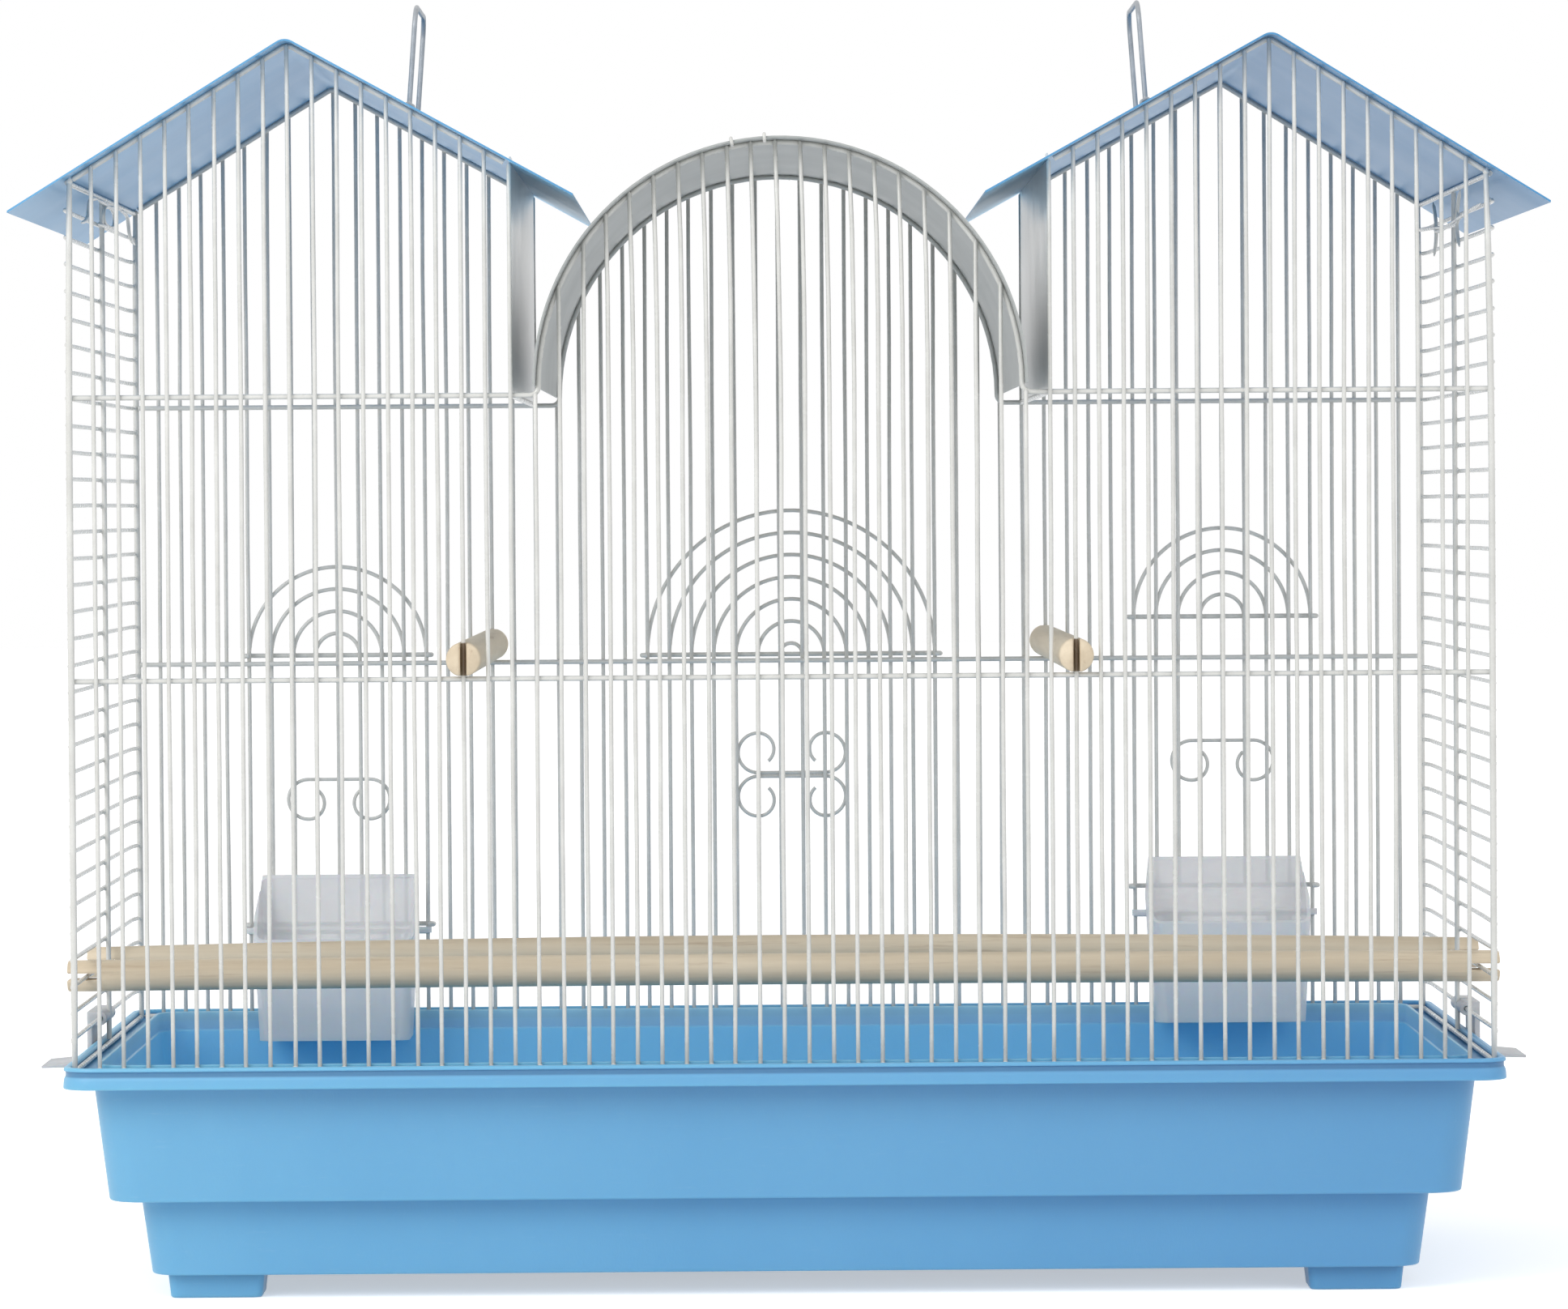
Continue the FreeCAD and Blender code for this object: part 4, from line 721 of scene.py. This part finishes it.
RAIL = 0.0024
RAIL_SINK = 0.0006
STILL = (0.0, 0.0, 0.0)
for wall in ("plain_wall", "door_wall", "left_wall", "right_wall"):
    rail = wall + "_bottom_rail"
    low_run = [
        [point - Vector((0.0, 0.0, RAIL_SINK)) for point in straight_route(*ends)] for ends in rods(rail)
    ]
    foot_rail = shaped(
        wall + "_foot_rail", line_mesh(rail, low_run), wire_tree, Thickness=RAIL, Sides=16,
        Sway=STILL, **{"Sway Rate": STILL}, Seed=0.0, Coating=enamel["material"],
    )
    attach(foot_rail, "cage")
    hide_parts(rail)


# The four corner posts: 3 mm wire, not quite upright any more, each with a flattened cap on top.
# Where the rails of the side walls end, their wire is bent back on itself into a ring.
POST = 0.003
POST_CAP = 0.0052
CAP_HALF_HEIGHT = 0.0012
POST_BEND_FROM = 0.36
POST_LEANS = {(-1, -1): 0.0012, (1, -1): -0.0020, (-1, 1): 0.0006, (1, 1): -0.0008}
posts = []
caps = []
for start, end in rods("corner_posts"):
    lean = POST_LEANS[(1 if start.x > 0 else -1, 1 if start.y > 0 else -1)]
    route = straight_route(start, end)
    for point in route:
        above = max(0.0, point.z - POST_BEND_FROM) / (end.z - POST_BEND_FROM)
        point.x += lean * above * above
    posts.append(route)
    caps.append([route[-1] + Vector((0.0, 0.0, CAP_HALF_HEIGHT * step)) for step in (-1, 0, 1)])

# The turns of the rings, as depth and height in millimetres.
RING_WIRE = 0.0018
LEFT_RINGS = (
    (
        (-53, 508), (-20, 507.5), (14, 506.5), (24, 505), (27.5, 502), (24, 499), (14, 497.5),
        (-20, 497), (-53, 496.5),
    ),
    ((54, 508), (80, 507.5), (92, 506), (96.5, 502.5), (99, 498.5), (110, 495.5), (129, 494)),
)
RIGHT_RINGS = (
    ((-150, 497.5), (-90, 496), (-30, 494), (20, 492.5), (48, 492.5), (54, 495), (50, 498)),
    ((-62, 507.5), (-54, 503), (-48, 497), (-47, 491), (-51, 486), (-58, 481.5)),
)
RING_X = 0.3194
rings = []
for side, turns in ((-1, LEFT_RINGS), (1, RIGHT_RINGS)):
    for turn_points in turns:
        flat = [Vector((side * RING_X, y / 1000, z / 1000)) for y, z in turn_points]
        for mirrored in (1, -1):
            rings.append([Vector((point.x, point.y * mirrored, point.z)) for point in flat])


def rounded_route(corners, steps=5):
    """A route with its bends rounded, as wire is: a smooth curve through the middles of its legs."""
    points = [corners[0]]
    for before, here, after in zip(corners, corners[1:], corners[2:]):
        start = (before + here) / 2
        end = (here + after) / 2
        for step in range(steps):
            t = step / steps
            points.append(start * (1 - t) ** 2 + here * 2 * t * (1 - t) + end * t * t)
    points.append((corners[-2] + corners[-1]) / 2)
    points.append(corners[-1])
    return points


for name, routes, thickness, sides in (
    ("enamelled_corner_posts", posts, POST, 20),
    ("corner_post_caps", caps, POST_CAP, 16),
    ("side_rail_rings", [rounded_route(ring) for ring in rings], RING_WIRE, 10),
):
    corner_wire = shaped(
        name, line_mesh(name, routes), wire_tree, Thickness=thickness, Sides=sides, Sway=STILL,
        **{"Sway Rate": STILL}, Seed=0.0, Coating=enamel["material"],
    )
    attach(corner_wire, "cage")
    if name == "enamelled_corner_posts":
        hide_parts("corner_posts")


# The welds: where a wire crosses a rail the two are fused by a spot weld, which leaves a small
# flattened bead that the enamel rounds off.
weld_tree, entry, leave = node_tree(
    "spot_welds", (("Bead", "Vector"), ("Seed", "Int"), ("Coating", "Material"))
)
bead = node(weld_tree, "GeometryNodeMeshUVSphere", {"Segments": 8, "Rings": 5, "Radius": 1.0})
spread = node(weld_tree, "FunctionNodeRandomValue", {2: 0.78, 3: 1.22}, data_type="FLOAT")
link(weld_tree, entry, "Seed", spread, "Seed")
size = node(weld_tree, "ShaderNodeVectorMath", operation="SCALE")
link(weld_tree, entry, "Bead", size, 0)
link(weld_tree, spread, 1, size, "Scale")
placed = node(weld_tree, "GeometryNodeInstanceOnPoints")
link(weld_tree, entry, "Geometry", placed, "Points")
link(weld_tree, bead, "Mesh", placed, "Instance")
link(weld_tree, size, 0, placed, "Scale")
real = node(weld_tree, "GeometryNodeRealizeInstances")
link(weld_tree, placed, "Instances", real, "Geometry")
smooth = node(weld_tree, "GeometryNodeSetShadeSmooth")
link(weld_tree, real, "Geometry", smooth, "Geometry")
coated = node(weld_tree, "GeometryNodeSetMaterial")
link(weld_tree, smooth, "Geometry", coated, "Geometry")
link(weld_tree, entry, "Coating", coated, "Material")
link(weld_tree, coated, "Geometry", leave, "Geometry")

ARCH_HALF = 0.115
LONG_WALL_BEAD = (0.00135, 0.00075, 0.00120)
SIDE_WALL_BEAD = (0.00085, 0.00150, 0.00125)


def wall_welds(wall):
    """The places where a long wall's uprights cross its straight rails."""
    wires = rods(wall + "_wires")
    places = []
    for rail in ("_lower_rail", "_bottom_rail", "_eave_rail"):
        low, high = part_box(wall + rail)
        level = low.z + (high.z - low.z if rail != "_eave_rail" else RAIL) / 2
        for start, end in wires:
            under_arch = rail == "_eave_rail" and abs(start.x) < ARCH_HALF
            if start.z < level < end.z and not under_arch:
                places.append((start.x, (start.y + (low.y + high.y) / 2) / 2, level))
    return places


def side_welds(wall):
    """The places where a side wall's wires cross its two corner posts and its middle upright."""
    places = []
    for start, end in rods(wall + "_wires"):
        side = 1 if start.x > 0 else -1
        places.append((start.x - side * WIRE / 2, middle(wall + "_upright").y, start.z))
        places.extend((side * POST_X, y, start.z) for y in (TUCK_TO, -TUCK_TO))
    return places


for name, places, bead_size, seed in (
    ("plain_wall_welds", wall_welds("plain_wall"), LONG_WALL_BEAD, 1),
    ("door_wall_welds", wall_welds("door_wall"), LONG_WALL_BEAD, 2),
    ("left_wall_welds", side_welds("left_wall"), SIDE_WALL_BEAD, 3),
    ("right_wall_welds", side_welds("right_wall"), SIDE_WALL_BEAD, 4),
):
    dots = bpy.data.meshes.new(name)
    dots.from_pydata(places, [], [])
    welds = shaped(name, dots, weld_tree, Bead=bead_size, Seed=seed, Coating=enamel["material"])
    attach(welds, "cage")


# The gable roofs and their inner end panels: folded steel sheet, 0.8 mm thick, painted blue and
# grey. The roofs lie on the gable frames, and tabs of the panels come up through slots in them.
# The darker right end and the paler overhang are painted too, in place of the photograph's light.
SHEET_DARK = linear(86, 153, 200)
SHEET_LIGHT = linear(106, 169, 213)
SHEET_RUB = linear(150, 182, 212)
SHEET_RIGHT_END = linear(70, 136, 187)
SHEET_UNDERSIDE_PAINTED_LIGHT = linear(130, 208, 252)
OVERHANG_FROM = 0.1222
sheet_blue = finish(
    "blue_painted_sheet", SHEET_DARK, SHEET_LIGHT, (1.0, 1.0, 1.0), 5.0, (0.28, 0.41), 700.0, 0.00006,
    shader={"Specular IOR Level": 0.4, "Metallic": 0.25},
)
tree = sheet_blue["tree"]
drag = node(tree, "ShaderNodeMapping", {"Scale": (1.0, 14.0, 1.0)})
link(tree, sheet_blue["place"], "Object", drag, "Vector")
add_specks(sheet_blue, drag, "Vector", 18.0, 7.0, 0.8, (0.62, 0.85), 0.35, SHEET_RUB)
axes = add_fade(sheet_blue, -0.3, 0.3, 0.6, SHEET_RIGHT_END)
# The underside of the roofs where they reach over the inner panels is painted paler: painted light.
off_middle = node(tree, "ShaderNodeMath", operation="ABSOLUTE")
link(tree, axes, "X", off_middle, 0)
overhang = node(tree, "ShaderNodeMath", {1: OVERHANG_FROM}, operation="LESS_THAN")
link(tree, off_middle, 0, overhang, 0)
facing = node(tree, "ShaderNodeSeparateXYZ")
link(tree, sheet_blue["place"], "Normal", facing, "Vector")
underneath = node(tree, "ShaderNodeMath", {1: 0.0}, operation="LESS_THAN")
link(tree, facing, "Z", underneath, 0)
underside_painted_light = node(tree, "ShaderNodeMath", operation="MULTIPLY")
link(tree, overhang, 0, underside_painted_light, 0)
link(tree, underneath, 0, underside_painted_light, 1)
add_marks(sheet_blue, underside_painted_light, 0, SHEET_UNDERSIDE_PAINTED_LIGHT)
buckle = node(tree, "ShaderNodeTexNoise", {"Scale": 9.0, "Detail": 1.0})
link(tree, sheet_blue["place"], "Object", buckle, "Vector")
waves = node(tree, "ShaderNodeBump", {"Strength": 0.6, "Distance": 0.0015})
link(tree, buckle, "Fac", waves, "Height")
link(tree, waves, "Normal", sheet_blue["relief"], "Normal")

GREY_DARK = linear(158, 163, 162)
GREY_LIGHT = linear(176, 180, 178)
GREY_RUB = linear(196, 198, 194)
sheet_grey = finish(
    "grey_painted_sheet", GREY_DARK, GREY_LIGHT, (1.0, 1.0, 1.0), 6.0, (0.32, 0.48), 700.0, 0.00006,
    shader={"Specular IOR Level": 0.5},
)
add_specks(sheet_grey, sheet_grey["place"], "Object", 45.0, 7.0, 0.8, (0.60, 0.85), 0.4, GREY_RUB)
coat(sheet_blue["material"], "left_gable_roof", "right_gable_roof")

# The inner panels are painted much paler than the barrel roof's grey: painted light.
PANEL_DARK = linear(222, 225, 224)
PANEL_LIGHT = linear(231, 233, 232)
PANEL_RUB = linear(238, 239, 238)
panel_grey = finish(
    "panel_grey_with_painted_light", PANEL_DARK, PANEL_LIGHT, (1.0, 1.0, 1.0), 8.0, (0.16, 0.24), 700.0, 0.00002,
    shader={"Specular IOR Level": 0.5},
)
add_specks(panel_grey, panel_grey["place"], "Object", 60.0, 6.0, 0.8, (0.60, 0.85), 0.5, PANEL_RUB)
PANEL_CORNER = 0.0065
PANEL_TOP = 0.5186
CUT_ANGLES = (22.5, 45.0, 67.5)
MERGE_WITHIN = 1e-6
FLAT_WITHIN = math.radians(1.0)


def merged(source):
    """A copy of a CAD node as whole faces in place of loose triangles."""
    solid = bmesh.new()
    solid.from_mesh(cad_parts[source].data)
    bmesh.ops.remove_doubles(solid, verts=solid.verts, dist=MERGE_WITHIN)
    bmesh.ops.dissolve_limit(solid, angle_limit=FLAT_WITHIN, verts=solid.verts, edges=solid.edges)
    return solid


def round_corner(solid, side_y, middle_y, middle_z, radius):
    """Cuts a sheet's top corner round, in three flats that touch the same circle."""
    for degrees in CUT_ANGLES:
        angle = math.radians(degrees)
        outwards = Vector((0.0, side_y * math.cos(angle), math.sin(angle)))
        bmesh.ops.bisect_plane(
            solid, geom=solid.verts[:] + solid.edges[:] + solid.faces[:], clear_outer=True,
            plane_co=Vector((0.0, middle_y, middle_z)) + outwards * radius, plane_no=outwards,
        )
        bmesh.ops.holes_fill(solid, edges=[edge for edge in solid.edges if edge.is_boundary])


for side in ("left", "right"):
    source = side + "_inner_panel"
    low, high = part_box(source)
    sheet = merged(source)
    for side_y, edge_y in ((-1, low.y), (1, high.y)):
        middle_y = edge_y - side_y * PANEL_CORNER
        round_corner(sheet, side_y, middle_y, PANEL_TOP - PANEL_CORNER, PANEL_CORNER)
    panel = mesh_object(side + "_painted_inner_panel", sheet)
    for face in panel.data.polygons:
        face.use_smooth = False
    panel.data.materials.append(panel_grey["material"])
    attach(panel, "cage")
    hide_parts(source)


# The barrel roof: one grey sheet bent over the arched eave wires between the gables. Two small
# wire clips at each end grip its edge near the top.
coat(sheet_grey["material"], "arch_roof")
coat(enamel["material"], "arch_clips")


# The three sliding doors over the doorways in the far wall: nested hoops of wire on a crossbar
# and a bottom bar, whose hooked ends ride on the guide wires, with scrolls welded on the outside.
for door in ("main_door", "left_door", "right_door"):
    scroll = door + ("_scrolls" if door == "main_door" else "_scroll")
    coat(enamel["material"], door + "_wires", door + "_crossbar", door + "_bottom_bar", scroll)


# The two seed cups: scoops of frosted clear plastic that hang inside the small doorways by two
# hooks over the sill, with a shoulder on each side that stops them in the opening.
def softened(source, width, limit, segments=2):
    """A copy of a CAD node with its edges rounded where they turn by more than limit degrees."""
    solid = merged(source)
    sharp = [
        edge for edge in solid.edges
        if len(edge.link_faces) == 2 and edge.calc_face_angle() > math.radians(limit)
    ]
    bmesh.ops.bevel(
        solid, geom=sharp, offset=width, offset_type="OFFSET", segments=segments, profile=0.5,
        affect="EDGES", clamp_overlap=True,
    )
    return solid


CUP_EDGE = 0.0005
CUP_SHARP = 35
FROST_DARK = linear(235, 238, 240)
FROST_LIGHT = linear(245, 246, 248)
frosted = finish(
    "frosted_clear_plastic", FROST_DARK, FROST_LIGHT, (1.0, 1.0, 1.0), 30.0, (0.34, 0.52), 1500.0, 0.00008,
    shader={"Specular IOR Level": 0.4, "Alpha": 0.70, "Subsurface Weight": 0.25,
            "Subsurface Scale": 0.003},
)
for side in ("left", "right"):
    cup = mesh_object(side + "_seed_cup", softened(side + "_cup", CUP_EDGE, CUP_SHARP))
    cup.data.materials.append(frosted["material"])
    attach(cup, side + "_cup")
    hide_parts(side + "_cup")


# The perches: turned beech dowels, two from side wall to side wall and two short ones across the
# lower rails, with a saw kerf in each end that grips a wire. The long ones have warped a little.
WOOD_DARK = linear(208, 191, 165)
WOOD_LIGHT = linear(234, 219, 194)
WOOD_PORE = linear(170, 142, 112)
DOWEL_CHAMFER = 0.0007
DOWEL_SHARP = 50
DOWEL_CUTS = 8


def dowel_finish(name, stretch):
    """Beech with its fibres along the dowel: stretch is short along the axis of the dowel."""
    wood = finish(name, WOOD_DARK, WOOD_LIGHT, stretch, 90.0, (0.50, 0.68), 420.0, 0.00025,
                  shader={"Specular IOR Level": 0.3})
    add_specks(wood, wood["scaled"], "Vector", 260.0, 5.0, 0.7, (0.58, 0.75), 0.55, WOOD_PORE)
    return wood["material"]


def dowel(name, source, axis, bow):
    """A copy of a perch with chamfered ends and a gentle bow along its length."""
    solid = softened(source, DOWEL_CHAMFER, DOWEL_SHARP, 1)
    low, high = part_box(source)
    half = (high[axis] - low[axis]) / 2
    normal = Vector((0.0, 0.0, 0.0))
    normal[axis] = 1.0
    for cut in range(1 - DOWEL_CUTS, DOWEL_CUTS):
        bmesh.ops.bisect_plane(
            solid, geom=solid.verts[:] + solid.edges[:] + solid.faces[:],
            plane_co=normal * (half * cut / DOWEL_CUTS), plane_no=normal,
        )
    for point in solid.verts:
        share = point.co[axis] / half
        point.co.z += bow * (1 - share * share)
    return mesh_object(name, solid)


ALONG_X = dowel_finish("beech_along_x", (0.045, 1.0, 1.0))
ALONG_Y = dowel_finish("beech_along_y", (1.0, 0.045, 1.0))
for source, axis, bow, grain in (
    ("near_long_perch", 0, 0.0010, ALONG_X),
    ("far_long_perch", 0, 0.0036, ALONG_X),
    ("left_short_perch", 1, 0.0, ALONG_Y),
    ("right_short_perch", 1, 0.0, ALONG_Y),
):
    perch = dowel(source + "_dowel", source, axis, bow)
    perch.data.materials.append(grain)
    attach(perch, "cage")
    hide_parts(source)


# The carrying handles: a bail of 2.4 mm wire on the inner slope of each gable roof, whose feet
# turn in two small wire eyes.
BRIGHT_DARK = linear(150, 155, 160)
BRIGHT_LIGHT = linear(182, 186, 190)
BRIGHT_RUB = linear(118, 122, 127)
bright_wire = finish(
    "dulled_handle_wire", BRIGHT_DARK, BRIGHT_LIGHT, (1.0, 1.0, 1.0), 70.0, (0.30, 0.46), 1400.0, 0.00006,
    shader={"Specular IOR Level": 0.6, "Metallic": 0.25},
)
add_specks(bright_wire, bright_wire["place"], "Object", 190.0, 5.0, 0.7, (0.56, 0.78), 0.6, BRIGHT_RUB)
for side in ("left", "right"):
    coat(bright_wire["material"], side + "_handle", side + "_handle_eyes")


# The side latches: moulded clips of pale grey plastic that swing on the lowest side wire, with a
# plate over the rim and a finger tab.
LATCH_DARK = linear(192, 196, 200)
LATCH_LIGHT = linear(211, 214, 217)
latch_plastic = finish(
    "pale_latch_plastic", LATCH_DARK, LATCH_LIGHT, (1.0, 1.0, 1.0), 40.0, (0.32, 0.46), 1200.0, 0.00008,
    shader={"Specular IOR Level": 0.45, "Alpha": 0.80, "Subsurface Weight": 0.2,
            "Subsurface Scale": 0.003},
)
LATCH_EDGE = 0.0006
LATCH_SHARP = 30
TAB_ROOT = 0.3314
TAB_TIP = 0.3533
TAB_ROOT_LEVEL = 0.1018
TAB_FALL = 0.0075
TAB_TOP = 0.1045
TAB_NEW_ROOT = 0.0990
TAB_NEW_TIP = 0.0977
TAB_TAPER = 0.55
for side in ("left", "right"):
    clip = softened(side + "_latch", LATCH_EDGE, LATCH_SHARP)
    for point in clip.verts:
        if point.co.z < TAB_TOP:
            share = min(1.0, max(0.0, (abs(point.co.x) - TAB_ROOT) / (TAB_TIP - TAB_ROOT)))
            off = point.co.z - (TAB_ROOT_LEVEL - TAB_FALL * share)
            level = TAB_NEW_ROOT + (TAB_NEW_TIP - TAB_NEW_ROOT) * share
            point.co.z = level + off * (1 - TAB_TAPER * share)
    latch = mesh_object(side + "_side_latch", clip)
    latch.data.materials.append(latch_plastic["material"])
    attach(latch, side + "_latch")
    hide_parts(side + "_latch")
